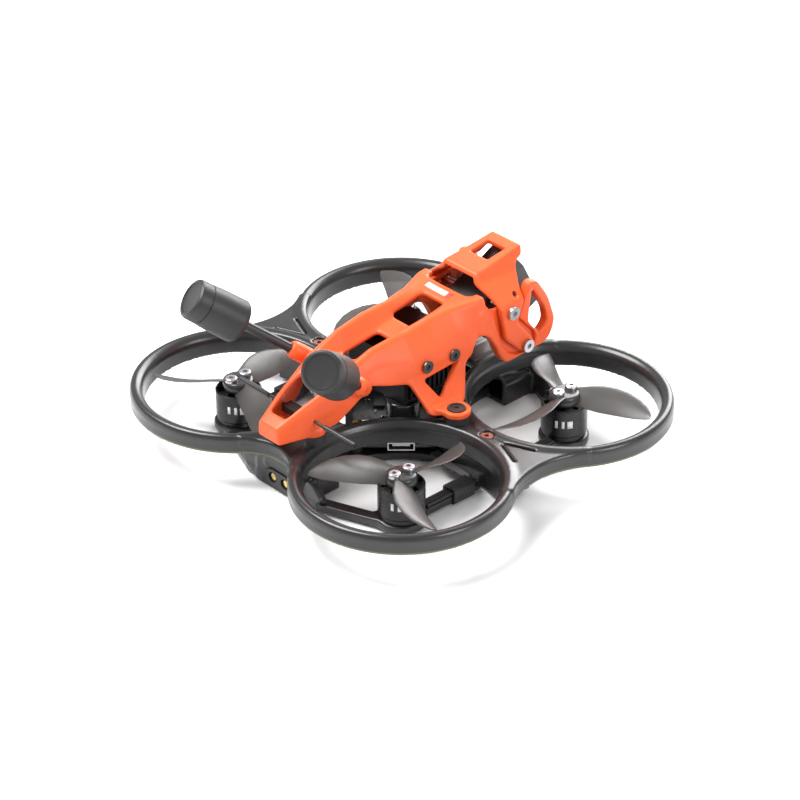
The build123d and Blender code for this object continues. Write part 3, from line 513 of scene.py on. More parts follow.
@dataclass(frozen=True)
class Finish:
    """One physical finish and its material."""

    name: str
    colour: Colour
    roughness: float
    surface: Surface = Surface.MOULDED
    metallic: float = 0.0
    variation: float = 0.06
    rough_spread: float = 0.06
    grain: float = 2600.0
    depth: float = 0.000012
    coat: float = 0.0
    alpha: float = 1.0
    ior: float = 1.5
    specular: float = 0.5

    def material(self) -> bpy.types.Material:
        """The finish's node material, made once.

        Returns:
            A node material.
        """
        known = bpy.data.materials.get("finish_" + self.name)
        if known is not None:
            return known
        made = bpy.data.materials.new("finish_" + self.name)
        made.use_nodes = True
        graph = Graph(made.node_tree)
        shader = graph.tree.nodes["Principled BSDF"]
        for socket, value in (
            ("Metallic", self.metallic),
            ("IOR", self.ior),
            ("Specular IOR Level", self.specular),
            ("Coat Weight", self.coat),
            ("Coat Roughness", COAT_ROUGHNESS),
            ("Alpha", self.alpha),
        ):
            shader.inputs[socket].default_value = value
        place = graph.add("ShaderNodeTexCoord").outputs["Object"]
        graph.link(self.mottle(graph, place), shader.inputs["Base Color"])
        broad = graph.noise(place, 420.0, 3.0)
        span = graph.add("ShaderNodeMapRange")
        span.inputs["To Min"].default_value = max(0.03, self.roughness - self.rough_spread)
        span.inputs["To Max"].default_value = min(1.0, self.roughness + self.rough_spread)
        graph.link(broad, span.inputs["Value"])
        graph.link(span.outputs["Result"], shader.inputs["Roughness"])
        bump = graph.add("ShaderNodeBump")
        bump.inputs["Strength"].default_value = 0.6
        bump.inputs["Distance"].default_value = self.depth
        graph.link(self.relief(graph, place), bump.inputs["Height"])
        graph.link(bump.outputs["Normal"], shader.inputs["Normal"])
        return made

    def relief(self, graph: Graph, place: bpy.types.NodeSocket) -> bpy.types.NodeSocket:
        """Height pattern for this kind of surface.

        Args:
            graph: The material's node graph.
            place: Coordinates fixed to the part.

        Returns:
            The pattern's value socket.
        """
        if self.surface is Surface.TURNED:
            return graph.noise(place, self.grain, 2.0, (0.02, 0.02, 1.0))
        if self.surface is Surface.WOUND:
            wave = graph.add("ShaderNodeTexWave")
            wave.bands_direction = "Z"
            wave.inputs["Scale"].default_value = 900.0
            wave.inputs["Distortion"].default_value = 1.5
            graph.link(place, wave.inputs["Vector"])
            return wave.outputs["Fac"]
        if self.surface is Surface.SATIN:
            return graph.noise(place, self.grain * 0.35, 4.0)
        return graph.noise(place, self.grain, 5.0)

    def mottle(self, graph: Graph, place: bpy.types.NodeSocket) -> bpy.types.NodeSocket:
        """Base colour with slight mottling.

        Args:
            graph: The material's node graph.
            place: Coordinates fixed to the part.

        Returns:
            The colour socket.
        """
        pattern = graph.noise(place, 160.0, 4.0)
        ramp = graph.add("ShaderNodeValToRGB")
        ramp.color_ramp.elements[0].position = 0.3
        ramp.color_ramp.elements[1].position = 0.7
        for element, factor in zip(ramp.color_ramp.elements, (1.0 - self.variation, 1.0 + self.variation)):
            element.color = (*(min(1.0, c * factor) for c in self.colour), 1.0)
        graph.link(pattern, ramp.inputs["Fac"])
        return ramp.outputs["Color"]


FRAME_BLACK = Finish(
    "frame_black", (0.016, 0.0155, 0.016), 0.31, Surface.SATIN, variation=0.12, rough_spread=0.06,
    depth=0.00002, coat=0.12,
)
FRAME_EDGE = Finish("frame_edge_olive", (0.075, 0.10, 0.045), 0.36, Surface.SATIN, depth=0.00002)
CANOPY_ORANGE = Finish(
    "canopy_orange", (0.80, 0.098, 0.018), 0.42, variation=0.05, rough_spread=0.05, depth=0.00003,
    specular=0.4,
)
PROP_SMOKE = Finish(
    "prop_smoke", (0.062, 0.056, 0.053), 0.34, Surface.SATIN, variation=0.08, depth=0.000006, alpha=0.84,
)
HUB_BLACK = Finish("hub_black", (0.030, 0.029, 0.029), 0.25, Surface.SATIN, depth=0.000008)
MOTOR_BLACK = Finish(
    "motor_black", (0.022, 0.022, 0.024), 0.28, Surface.TURNED, metallic=0.55, rough_spread=0.08,
    depth=0.00001,
)
STEEL = Finish(
    "steel", (0.50, 0.50, 0.52), 0.30, Surface.TURNED, metallic=1.0, rough_spread=0.07, depth=0.000006,
)
DARK_STEEL = Finish(
    "dark_steel", (0.16, 0.17, 0.17), 0.33, Surface.TURNED, metallic=1.0, rough_spread=0.08, depth=0.000006,
)
COPPER_SCREW = Finish(
    "copper_screw", (0.36, 0.17, 0.13), 0.36, Surface.TURNED, metallic=1.0, depth=0.000006,
)
COPPER_WIRE = Finish("copper_wire", (0.55, 0.24, 0.10), 0.30, Surface.WOUND, metallic=0.9, depth=0.00006)
MAGNET = Finish("magnet_nickel", (0.45, 0.45, 0.47), 0.25, Surface.TURNED, metallic=1.0)
RUBBER = Finish("black_rubber", (0.020, 0.019, 0.019), 0.62, Surface.RUBBER, depth=0.00003)
SLEEVE = Finish("shrink_sleeve", (0.024, 0.024, 0.025), 0.48, Surface.RUBBER, depth=0.00005)
WIRE_BLACK = Finish("silicone_black", (0.022, 0.022, 0.023), 0.45, Surface.RUBBER)
BOARD_MASK = Finish("board_mask", (0.012, 0.016, 0.015), 0.30, Surface.SHEET, variation=0.3, coat=0.4)
CHIP = Finish("chip_resin", (0.025, 0.025, 0.027), 0.45)
SOLDER = Finish("solder", (0.70, 0.70, 0.69), 0.26, Surface.SHEET, metallic=1.0, depth=0.00003)
GOLD = Finish("gold_plate", (0.85, 0.62, 0.22), 0.22, Surface.TURNED, metallic=1.0)
PALE_PLASTIC = Finish("pale_plastic", (0.80, 0.79, 0.74), 0.40)
CERAMIC = Finish("capacitor_ceramic", (0.42, 0.30, 0.20), 0.5)
HEAT_SINK = Finish("heat_sink", (0.020, 0.020, 0.021), 0.36, Surface.SHEET, metallic=0.6)
SHRINK_GLOSS = Finish("capacitor_sleeve", (0.018, 0.018, 0.019), 0.20, Surface.SATIN, coat=0.3)
CONNECTOR = Finish("connector_black", (0.020, 0.020, 0.021), 0.40)
CAMERA_BLACK = Finish("camera_black", (0.018, 0.018, 0.019), 0.38, Surface.SATIN)
LENS = Finish("lens_coated", (0.02, 0.025, 0.045), 0.05, Surface.SATIN, coat=1.0, depth=0.0)
POD_BLACK = Finish("pod_black", (0.013, 0.013, 0.014), 0.46, depth=0.00005, variation=0.12)
ROD_BLACK = Finish("rod_black", (0.016, 0.016, 0.017), 0.34, Surface.SATIN)
MARK_WHITE = Finish("mark_white", (0.62, 0.62, 0.62), 0.5, depth=0.000004)
MARK_RED = Finish("mark_red", (0.60, 0.03, 0.03), 0.5, depth=0.000004)

NODE_LOOKS: dict[str, tuple[Finish, float]] = {
    # finish, and width of the edge rounding
    "arm_sleeves": (SLEEVE, 0.0),
    "motor_leads": (WIRE_BLACK, 0.0),
    "deck_screws": (COPPER_SCREW, 0.0),
    "motor_screws": (DARK_STEEL, 0.0),
    "motor_bases": (MOTOR_BLACK, 0.2),
    "stators": (COPPER_WIRE, 0.0),
    "bearings": (STEEL, 0.0),
    "bell_": (MOTOR_BLACK, 0.15),
    "magnets_": (MAGNET, 0.0),
    "shaft_": (STEEL, 0.0),
    "prop_screws_": (STEEL, 0.12),
    "flight_controller": (BOARD_MASK, 0.1),
    "usb_socket": (STEEL, 0.12),
    "board_grommets": (RUBBER, 0.0),
    "board_screws": (DARK_STEEL, 0.0),
    "video_transmitter": (HEAT_SINK, 0.12),
    "capacitor": (SHRINK_GLOSS, 0.0),
    "power_connector": (CONNECTOR, 0.2),
    "power_pins": (GOLD, 0.0),
    "internal_leads": (WIRE_BLACK, 0.0),
    "canopy_posts": (RUBBER, 0.3),
    "canopy_screws": (DARK_STEEL, 0.15),
    "side_screws": (DARK_STEEL, 0.15),
    "camera_body": (CAMERA_BLACK, 0.0),
    "lens_barrel": (CAMERA_BLACK, 0.25),
    "lens_glass": (LENS, 0.0),
    "camera_screws": (STEEL, 0.25),
    "aerial_rods": (ROD_BLACK, 0.0),
    "receiver_aerial": (ROD_BLACK, 0.0),
}


def dress(piece: bpy.types.Object, finish: Finish, body: str, slot: str, *nodes: str) -> None:
    """Give a piece its finish and body, and hide the CAD nodes that it stands for.

    Args:
        piece: The piece.
        finish: Its finish.
        body: CAD body that it rides on.
        slot: Name of a material slot; not used.
        *nodes: CAD nodes that it replaces.
    """
    piece.data.materials.clear()
    piece.data.materials.append(finish.material())
    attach(piece, body)
    if nodes:
        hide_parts(*nodes)
    LOG.info("%s on %s, %d faces", piece.name, body, len(piece.data.polygons))


@dataclass(frozen=True)
class Corner:
    """One motor's place and turning sense."""

    name: str
    side: int
    end: int
    spin: int
    heading: float

    @property
    def x(self) -> float:
        """Motor axis across the drone."""
        return self.side * Plan.MOTOR_X

    @property
    def y(self) -> float:
        """Motor axis along the drone."""
        return self.end * Plan.MOTOR_Y

    @property
    def body(self) -> str:
        """Name of the turning CAD body."""
        return "rotor_" + self.name


class Plan:
    """Sizes that several sub-assemblies share."""

    MOTOR_X = 33.16
    MOTOR_Y = 30.42
    PIVOT: Point2 = (33.7, 21.6)
    UPPER_SCREW: Point2 = (27.8, 34.1)
    CLAMP: Point3 = (11.7, -25.3, 30.7)
    AERIAL: Point3 = (0.389, -0.712, 0.587)
    CORNERS = (
        Corner("front_left", -1, 1, -1, 142.0),
        Corner("front_right", 1, 1, 1, 33.0),
        Corner("rear_left", -1, -1, 1, -21.0),
        Corner("rear_right", 1, -1, -1, 90.0),
    )


# ---------------------------------------------------------------- airframe


@dataclass
class Airframe:
    """The one-piece black moulding: ducts, deck, tray, end blocks and motor arms."""

    wall: float = 27.3
    lip: float = 30.0
    lip_wall: float = 1.15
    lip_z: float = 10.0
    deck_z: tuple[float, float] = (12.6, 15.0)
    side_fillet: float = 25.0
    end_fillet: float = 12.6
    deck_hole: Point2 = (19.0, 24.0)
    hole_reach: float = 29.0
    plate_z: tuple[float, float] = (0.8, 3.1)
    plate_reach: float = 30.2
    tray: Point2 = (25.0, 31.4)
    skirt_top: float = 13.9
    groove: tuple[Point2, Point2] = ((40.2, 0.55), (48.2, 3.9))
    groove_half: float = 0.36
    groove_depth: float = 0.9
    screw_recess: Point3 = (33.9, 1.95, 1.0)
    arm: tuple[Point2, Point2] = ((9.0, 44.0), (31.7, 35.1))
    arm_half: float = 1.85
    block_end: float = 44.0
    ribs: int = 5
    rib_pitch: float = 3.2
    pad: float = 7.0
    pad_hole: float = 2.2
    voxel: float = 0.42

    flange: Outline = Outline(
        (
            (26.0, 8.8), (27.3, 8.8), (27.3, 12.2), (27.9, 12.9), (29.9, 12.9), (30.0, 13.7),
            (29.88, 14.5), (29.55, 15.05), (29.0, 15.36), (28.4, 15.38), (27.6, 15.15),
            (26.85, 14.6), (26.3, 13.8), (26.04, 12.9),
        )
    )
    bay_front: Outline = Outline(mirrored(((9.4, 0.1), (9.4, 7.0), (7.4, 8.7))), 0.8)
    bay_flare: Outline = Outline(mirrored(((9.4, 0.3), (16.6, 4.7), (12.6, 8.7))), 0.8)

    def radius(self, ax: Array, ay: Array) -> Array:
        """Distance from the nearest motor axis."""
        return np.hypot(ax - Plan.MOTOR_X, ay - Plan.MOTOR_Y)

    def web(self, ax: Array, ay: Array) -> Array:
        """Plan of the deck between the ducts, with rounded valleys.

        Args:
            ax: Distance from the centre plane.
            ay: Distance along the drone from its middle.

        Returns:
            Signed distance.
        """
        side_reach = self.lip + self.side_fillet
        end_reach = self.lip + self.end_fillet
        side_c = Plan.MOTOR_X + math.sqrt(side_reach**2 - Plan.MOTOR_Y**2)
        end_c = Plan.MOTOR_Y + math.sqrt(end_reach**2 - Plan.MOTOR_X**2)
        share_side = self.lip / side_reach
        share_end = self.lip / end_reach
        tx = Plan.MOTOR_X + (side_c - Plan.MOTOR_X) * share_side
        ty = Plan.MOTOR_Y * (1 - share_side)
        ex = Plan.MOTOR_X * (1 - share_end)
        ey = Plan.MOTOR_Y + (end_c - Plan.MOTOR_Y) * share_end
        middle = Outline(((-9, -9), (tx, -9), (tx, ty), (Plan.MOTOR_X, Plan.MOTOR_Y), (ex, ey), (-9, ey)))
        inside = middle.distance(ax, ay)
        inside = np.maximum(inside, self.side_fillet - np.hypot(ax - side_c, ay))
        return np.maximum(inside, self.end_fillet - np.hypot(ax, ay - end_c))

    def upper(self, x: Array, y: Array, z: Array) -> Array:
        """Ducts and deck.

        Args:
            x: Distance across the drone.
            y: Distance along the drone.
            z: Height.

        Returns:
            Signed distance.
        """
        ax, ay = np.abs(x), np.abs(y)
        r = self.radius(ax, ay)
        web = self.web(ax, ay)
        outline = np.minimum(web, r - self.lip)
        ring = self.flange.distance(r, z)
        skirt = np.maximum(outline, -(outline + self.lip_wall))
        skirt = meet(skirt, slab(z, self.lip_z, self.skirt_top), 0.35)
        deck = meet(np.maximum(web, self.wall - r), slab(z, *self.deck_z), 0.6)
        shape = join(join(ring, skirt, 0.4), deck, 1.3)
        hole = np.maximum(np.maximum(ax - self.deck_hole[0], ay - self.deck_hole[1]), self.hole_reach - r)
        shape = cut(shape, np.maximum(hole, 11.5 - z), 0.6)
        top = self.deck_z[1]
        for end in (-1, 1):
            start, stop = ((u, v * end) for u, v in self.groove)
            groove = bar(ax, y, start, stop, self.groove_half)
            shape = cut(shape, np.maximum(groove, top - self.groove_depth - z), 0.15)
        place, radius, depth = self.screw_recess
        recess = np.hypot(ax - place, y) - radius
        return cut(shape, np.maximum(recess, top - depth - z), 0.2)

    def end_block(self, x: Array, y: Array, z: Array) -> Array:
        """Front block with its ribs, and rear block with the connector's mouth.

        Args:
            x: Distance across the drone.
            y: Distance along the drone.
            z: Height.

        Returns:
            Signed distance.
        """
        ax, ay = np.abs(x), np.abs(y)
        core = meet(self.bay_front.distance(ax, z), slab(ay, 31.0, self.block_end), 0.6)
        column = cuboid(ax, ay, z, (-9.0, 31.0, 7.0), (5.4, self.block_end, 13.5), 0.5)
        flare = meet(self.bay_flare.distance(ax, z), slab(ay, 41.8, self.block_end), 0.5)
        shape = join(join(core, column, 1.5), flare, 1.2)
        shape = cut(shape, cuboid(ax, ay, z, (-9.0, 20.0, 1.4), (8.0, 42.6, 7.4), 0.6), 0.3)
        mouth = bar(x, z, (-2.5, 4.0), (2.5, 4.0), 2.6)
        shape = cut(shape, np.maximum(mouth, y + 38.0), 0.2)
        for index in range(self.ribs):
            shift = self.rib_pitch * index
            rib = cuboid(x, y, z, (-7.0 + shift, 43.2, 2.0), (-5.8 + shift, 48.0, 7.6), 0.2)
            shape = cut(shape, rib, 0.15)
        return shape

    def lower(self, x: Array, y: Array, z: Array) -> Array:
        """Tray, side posts, arms and pads.

        Args:
            x: Distance across the drone.
            y: Distance along the drone.
            z: Height.

        Returns:
            Signed distance.
        """
        ax, ay = np.abs(x), np.abs(y)
        r = self.radius(ax, ay)
        low, high = self.plate_z
        level = slab(z, low, high)
        tray = np.maximum(np.maximum(ax - self.tray[0], ay - self.tray[1]), self.plate_reach - r)
        shape = meet(tray, level, 0.5)
        post = np.maximum(cuboid(ax, ay, z, (self.tray[0], -9.0, low), (45.0, 6.0, 13.2), 0.8), self.wall - r)
        shape = join(shape, post, 0.8)
        arm = np.maximum(bar(ax, ay, *self.arm, self.arm_half), ay - self.block_end)
        shape = join(shape, meet(arm, level, 0.55), 0.8)
        side = cuboid(ax, ay, z, (33.0, 4.0, low), (36.2, 26.0, high), 0.5)
        shape = join(shape, side, 0.8)
        pad = meet(r - self.pad, level, 0.6)
        shape = join(shape, pad, 0.9)
        return cut(shape, r - self.pad_hole, 0.2)

    def solid(self, x: Array, y: Array, z: Array) -> Array:
        """The whole moulding.

        Args:
            x: Distance across the drone.
            y: Distance along the drone.
            z: Height.

        Returns:
            Signed distance.
        """
        shape = join(self.upper(x, y, z), self.lower(x, y, z), 1.0)
        shape = join(shape, self.end_block(x, y, z), 1.0)
        turn = math.atan2(Plan.MOTOR_Y, Plan.MOTOR_X)
        along = x * math.cos(turn) - y * math.sin(turn)
        across = x * math.sin(turn) + y * math.cos(turn)
        port = cuboid(along, across, z, (11.0, -4.1, 5.8), (19.2, 4.1, 9.1))
        return cut(shape, port, 0.2)

    def build(self) -> None:
        """Make the moulding and tint its lower outer edge."""
        skin = Skin((-64.0, -61.0, 0.0), (64.0, 61.0, 15.6), self.voxel)
        moulding = skin_object("airframe_moulding", skin, self.solid)
        replaced = ["duct_" + corner.name for corner in Plan.CORNERS]
        replaced += ["top_deck", "side_junctions", "bottom_plate", "front_bay", "rear_bay"]
        replaced += ["motor_pads", "lateral_arms", "side_arms"]
        dress(moulding, FRAME_BLACK, "airframe", "frame_plastic", *replaced)
        self.tint_edge(moulding)

    def tint_edge(self, moulding: bpy.types.Object) -> None:
        """Give the lower edge of the outer wall its olive tint.

        Args:
            moulding: The moulding's mesh object.
        """
        mesh = moulding.data
        centres = np.empty(len(mesh.polygons) * 3)
        mesh.polygons.foreach_get("center", centres)
        x, y, z = centres.reshape(-1, 3).T / MM
        ax, ay = np.abs(x), np.abs(y)
        outline = np.minimum(self.web(ax, ay), self.radius(ax, ay) - self.lip)
        edge = (outline > -0.42) & (z > 9.8) & (z < 10.75)
        mesh.materials.append(FRAME_EDGE.material())
        mesh.polygons.foreach_set("material_index", edge.astype(np.int32))


# ---------------------------------------------------------------- canopy


@dataclass
class Canopy:
    """Orange shell over the electronics, with tail loop, feet, cheeks and clamps."""

    wall: float = 1.5
    slot: tuple[float, float, float] = (2.5, -19.4, -6.3)
    window: tuple[float, float, float] = (4.5, 0.6, 12.2)
    notch: Point3 = (8.6, 17.4, 36.4)
    foot: Point2 = (23.3, -1.1)
    foot_r: float = 3.9
    foot_hole: float = 2.5
    foot_z: tuple[float, float] = (17.6, 19.3)
    clamp_r: float = 2.55
    rod_hole: float = 1.36
    screw_hole: float = 1.02
    pivot_hole: float = 1.1
    track_half: float = 1.2
    ear: Point3 = (5.8, -36.3, 18.35)
    side_screws: tuple[Point2, ...] = ((-3.2, 28.9), (6.7, 28.7))
    tilt_slot: tuple[float, float] = (-3.0, 5.0)
    label_y: tuple[float, ...] = (14.0, 14.9, 15.8)
    label_lift: float = 0.06
    label_thickness: float = 0.05
    label_steps: int = 12
    cheek_x: tuple[float, float] = (11.4, 12.8)
    rim_x: float = 14.2
    voxel: float = 0.40

    stations: tuple[float, ...] = (-48.0, -40.0, -30.0, -24.0, -17.0, -7.0, 2.0, 10.0, 17.0, 22.0)
    ridge_z: tuple[float, ...] = (22.8, 27.0, 31.4, 34.4, 37.0, 38.3, 38.9, 39.6, 40.3, 40.6)
    ridge_x: tuple[float, ...] = (4.0, 5.5, 7.2, 7.4, 7.6, 8.3, 8.0, 9.0, 11.6, 12.1)
    floor_z: tuple[float, ...] = (22.8, 27.0, 31.2, 32.2, 33.2, 34.4, 35.9, 38.2, 40.1, 40.4)
    crease_z: tuple[float, ...] = (20.6, 24.8, 28.8, 31.2, 32.4, 31.0, 31.1, 31.3, 31.4, 31.4)
    crease_x: tuple[float, ...] = (4.4, 6.6, 8.8, 9.8, 10.6, 13.4, 13.9, 13.9, 13.9, 13.9)
    base_x: tuple[float, ...] = (4.0, 7.0, 9.6, 11.2, 12.8, 14.1, 14.2, 14.2, 14.2, 14.2)

    side: Outline = Outline(
        (
            (-48.0, 18.0), (-48.0, 60.0), (20.0, 60.0), (20.2, 38.4), (20.6, 35.5), (20.6, 28.8),
            (18.4, 30.4), (15.8, 29.8), (14.2, 27.4), (13.2, 25.4), (-9.0, 25.4), (-11.0, 26.0),
            (-21.0, 28.6), (-27.0, 24.0), (-31.0, 20.6), (-38.0, 18.6),
        ),
        1.2,
    )
    cheek: Outline = Outline(
        (
            (16.6, 31.0), (17.6, 36.5), (24.0, 37.8), (31.0, 40.4), (38.1, 40.0), (42.6, 33.4), (45.5, 25.4),
            (44.3, 21.2), (41.8, 19.0), (26.6, 18.0), (24.4, 20.8), (21.6, 26.6), (19.4, 29.8),
        ),
        1.6,
    )
    loop: Outline = Outline(((36.2, 38.2), (41.5, 29.8), (42.4, 25.4), (39.6, 22.6), (34.9, 28.2)), 1.6)
    recess: Outline = Outline(
        (
            (21.6, 46.0), (21.6, 38.6), (24.4, 25.6), (27.6, 20.9), (31.2, 19.1), (37.2, 19.1), (38.0, 22.4),
            (37.6, 24.0), (31.3, 30.6), (34.6, 39.0), (38.8, 46.0),
        ),
        0.8,
    )
    visor_space: Outline = Outline(
        (
            (20.4, 36.2), (24.0, 35.8), (28.0, 36.2), (33.4, 36.5), (34.6, 39.0), (38.6, 44.5), (20.4, 45.0),
        )
    )
    side_window: Outline = Outline(((-4.7, 25.5), (9.0, 26.3), (-1.7, 19.9)), 1.0)
    leg: Outline = Outline(
        ((-9.5, 26.6), (12.0, 26.6), (8.6, 22.0), (5.0, 17.4), (-7.2, 17.4), (-8.2, 22.0)), 1.0
    )
    tail_hole: Outline = Outline(
        mirrored(((-2.8, -44.2), (-3.3, -43.0), (-4.7, -36.0), (-4.9, -32.5), (-3.4, -30.6))), 0.8
    )

    def profile(self, values: tuple[float, ...], y: Array) -> Array:
        """Interpolate a size along the shell."""
        return np.interp(y, self.stations, values)

    def envelope(self, ax: Array, y: Array, z: Array) -> Array:
        """Outer surface, open below.

        Args:
            ax: Distance from the centre plane.
            y: Distance along the drone.
            z: Height.

        Returns:
            Signed distance.
        """
        ridge_z = self.profile(self.ridge_z, y)
        ridge_x = self.profile(self.ridge_x, y)
        crease_z = self.profile(self.crease_z, y)
        crease_x = self.profile(self.crease_x, y)
        base_x = self.profile(self.base_x, y)
        floor_z = self.profile(self.floor_z, y)
        share = np.clip((ax - 2.6) / np.maximum(ridge_x - 3.4, 1.0), 0.0, 1.0)
        rise = share * share * (3.0 - 2.0 * share)
        top = z - (floor_z + (ridge_z - floor_z) * rise)
        run, drop = crease_x - ridge_x, ridge_z - crease_z
        shoulder = ((ax - ridge_x) * drop + (z - ridge_z) * run) / np.hypot(run, drop)
        lean = np.clip((crease_z - z) / 6.0, 0.0, 1.0)
        flank = (ax - crease_x - (base_x - crease_x) * lean) * 0.95
        return meet(meet(top, shoulder, 1.2), flank, 1.6)

    def shell(self, x: Array, y: Array, z: Array) -> Array:
        """Body of the canopy with its openings.

        Args:
            x: Distance across the drone.
            y: Distance along the drone.
            z: Height.

        Returns:
            Signed distance.
        """
        ax = np.abs(x)
        outer = self.envelope(ax, y, z)
        inner = np.maximum(np.maximum(outer + self.wall, -(y + 44.5)), z - 60.0)
        shape = cut(outer, inner, 0.3)
        shape = meet(shape, self.side.distance(y, z), 0.7)
        half, y0, y1 = self.slot
        slot = meet(ax - half, slab(y, y0, y1), 1.6)
        shape = cut(shape, np.maximum(slot, 26.0 - z), 0.9)
        half, y0, y1 = self.window
        window = meet(ax - half, slab(y, y0, y1), 1.8)
        shape = cut(shape, np.maximum(window, 28.0 - z), 0.7)
        shape = cut(shape, self.tail_hole.distance(x, y), 0.8)
        half, start, bottom = self.notch
        notch = np.maximum(meet(ax - half, start - y, 2.4), bottom - z)
        return cut(shape, notch, 0.6)

    def leg_sheet(self, ax: Array, y: Array, z: Array) -> Array:
        """Sloping sheet that runs down to a foot; solid cuts its three-sided window.

        Args:
            ax: Distance from the centre plane.
            y: Distance along the drone.
            z: Height.

        Returns:
            Signed distance.
        """
        lean = 0.787 * (ax - self.base_x[6]) + 0.617 * (z - 25.4)
        sheet = meet(slab(lean, -self.wall, 0.0), slab(z, 17.7, 26.4), 0.4)
        return meet(sheet, self.leg.distance(y, z), 0.5)

    def fittings(self, x: Array, y: Array, z: Array) -> Array:
        """Feet, ears and clamps.

        Args:
            x: Distance across the drone.
            y: Distance along the drone.
            z: Height.

        Returns:
            Signed distance.
        """
        ax = np.abs(x)
        fx, fy = self.foot
        tab = Outline(((18.2, -7.0), (18.2, 4.9), (21.8, 3.0), (21.8, -5.0)), 0.8)
        foot = join(tab.distance(ax, y), np.hypot(ax - fx, y - fy) - self.foot_r, 1.2)
        shape = join(meet(foot, slab(z, *self.foot_z), 0.5), self.leg_sheet(ax, y, z), 1.0)
        ex, ey, ez = self.ear
        pad = join(np.hypot(ax - ex, y - ey) - 2.6, meet(ax - ex, slab(y, ey - 1.6, ey + 1.6), 0.2), 0.6)
        pad = np.maximum(pad, 4.4 - ax)
        shape = join(shape, meet(pad, slab(z, ez, ez + 1.6), 0.4), 0.6)
        clamp = capsule(ax, y, z, self.on_aerial(-1.6), self.on_aerial(2.4), self.clamp_r)
        return join(shape, clamp, 1.4)

    def on_aerial(self, distance: float) -> Point3:
        """Point on the right aerial's axis, measured outward from its clamp."""
        x, y, z = (c + d * distance for c, d in zip(Plan.CLAMP, Plan.AERIAL))
        return x, y, z

    def cheeks(self, ax: Array, y: Array, z: Array) -> Array:
        """Side plates with bumper loops, thick round the recess of the bracket's arm.

        Args:
            ax: Distance from the centre plane.
            y: Distance along the drone.
            z: Height.

        Returns:
            Signed distance.
        """
        side = self.cheek.distance(y, z)
        plate = meet(side, slab(ax, *self.cheek_x), 0.45)
        rim = meet(cut(side, self.recess.distance(y, z), 0.6), slab(ax, self.cheek_x[0], self.rim_x), 0.6)
        rim = np.maximum(rim, np.where(y < 24.0, self.envelope(ax, np.minimum(y, 19.0), z), -9.0))
        plate = cut(join(plate, rim, 0.4), self.loop.distance(y, z), 0.6)
        return cut(plate, self.visor_space.distance(y, z), 0.3)

    def solid(self, x: Array, y: Array, z: Array) -> Array:
        """The whole canopy.

        Args:
            x: Distance across the drone.
            y: Distance along the drone.
            z: Height.

        Returns:
            Signed distance.
        """
        ax = np.abs(x)
        fx, fy = self.foot
        shape = join(self.shell(x, y, z), self.fittings(x, y, z), 1.2)
        shape = join(shape, self.cheeks(ax, y, z), 1.2)
        shape = cut(shape, np.maximum(self.side_window.distance(y, z), 12.0 - ax), 0.5)
        shape = cut(shape, np.hypot(ax - fx, y - fy) - self.foot_hole, 0.3)
        rod = capsule(ax, y, z, self.on_aerial(-6.0), self.on_aerial(9.0), self.rod_hole)
        shape = cut(shape, rod, 0.25)
        for cy, cz in self.side_screws:
            shape = cut(shape, np.maximum(np.hypot(y - cy, z - cz) - self.screw_hole, 9.0 - ax), 0.1)
        py, pz = Plan.PIVOT
        pivot = np.hypot(y - py, z - pz) - self.pivot_hole
        run, rise = Plan.UPPER_SCREW[0] - py, Plan.UPPER_SCREW[1] - pz
        reach, first = math.hypot(run, rise), math.atan2(rise, run)
        ends = []
        for degrees in self.tilt_slot:
            angle = first + math.radians(degrees)
            ends.append((py + reach * math.cos(angle), pz + reach * math.sin(angle)))
        track = bar(y, z, *ends, self.track_half)
        bores = np.maximum(np.minimum(pivot, track), 8.0 - ax)
        return cut(shape, bores, 0.15)

    def build(self) -> None:
        """Make the canopy and its plain label."""
        skin = Skin((-28.2, -48.4, 16.2), (28.2, 46.2, 42.0), self.voxel)
        shell = skin_object("canopy_shell", skin, self.solid)
        dress(shell, CANOPY_ORANGE, "airframe", "canopy_plastic", "canopy")
        self.label()

    def label(self) -> None:
        """Plain white and red strip on the bar behind the camera."""
        strips = (("label_pale", -5.6, 2.4, MARK_WHITE), ("label_red", 2.6, 4.2, MARK_RED))
        for name, x0, x1, finish in strips:
            maker = MeshMaker()
            rows = []
            for i in range(self.label_steps + 1):
                x = x0 + (x1 - x0) * i / self.label_steps
                rows.append([(x, y, self.top_height(x, y) + self.label_lift) for y in self.label_y])
            maker.sheet(rows)
            strip = maker.build(name)
            thicken(strip, self.label_thickness)
            dress(strip, finish, "airframe", "canopy_plastic")

    def top_height(self, x: float, y: float) -> float:
        """Height of the shell's top at a place, found by halving.

        Args:
            x: Place across the drone.
            y: Place along the drone.

        Returns:
            Height of the surface.
        """
        low, high = 34.0, 44.0
        for _ in range(24):
            middle = (low + high) / 2
            value = self.envelope(np.array([abs(x)]), np.array([y]), np.array([middle]))[0]
            low, high = (middle, high) if value < 0 else (low, middle)
        return high


# ---------------------------------------------------------------- camera


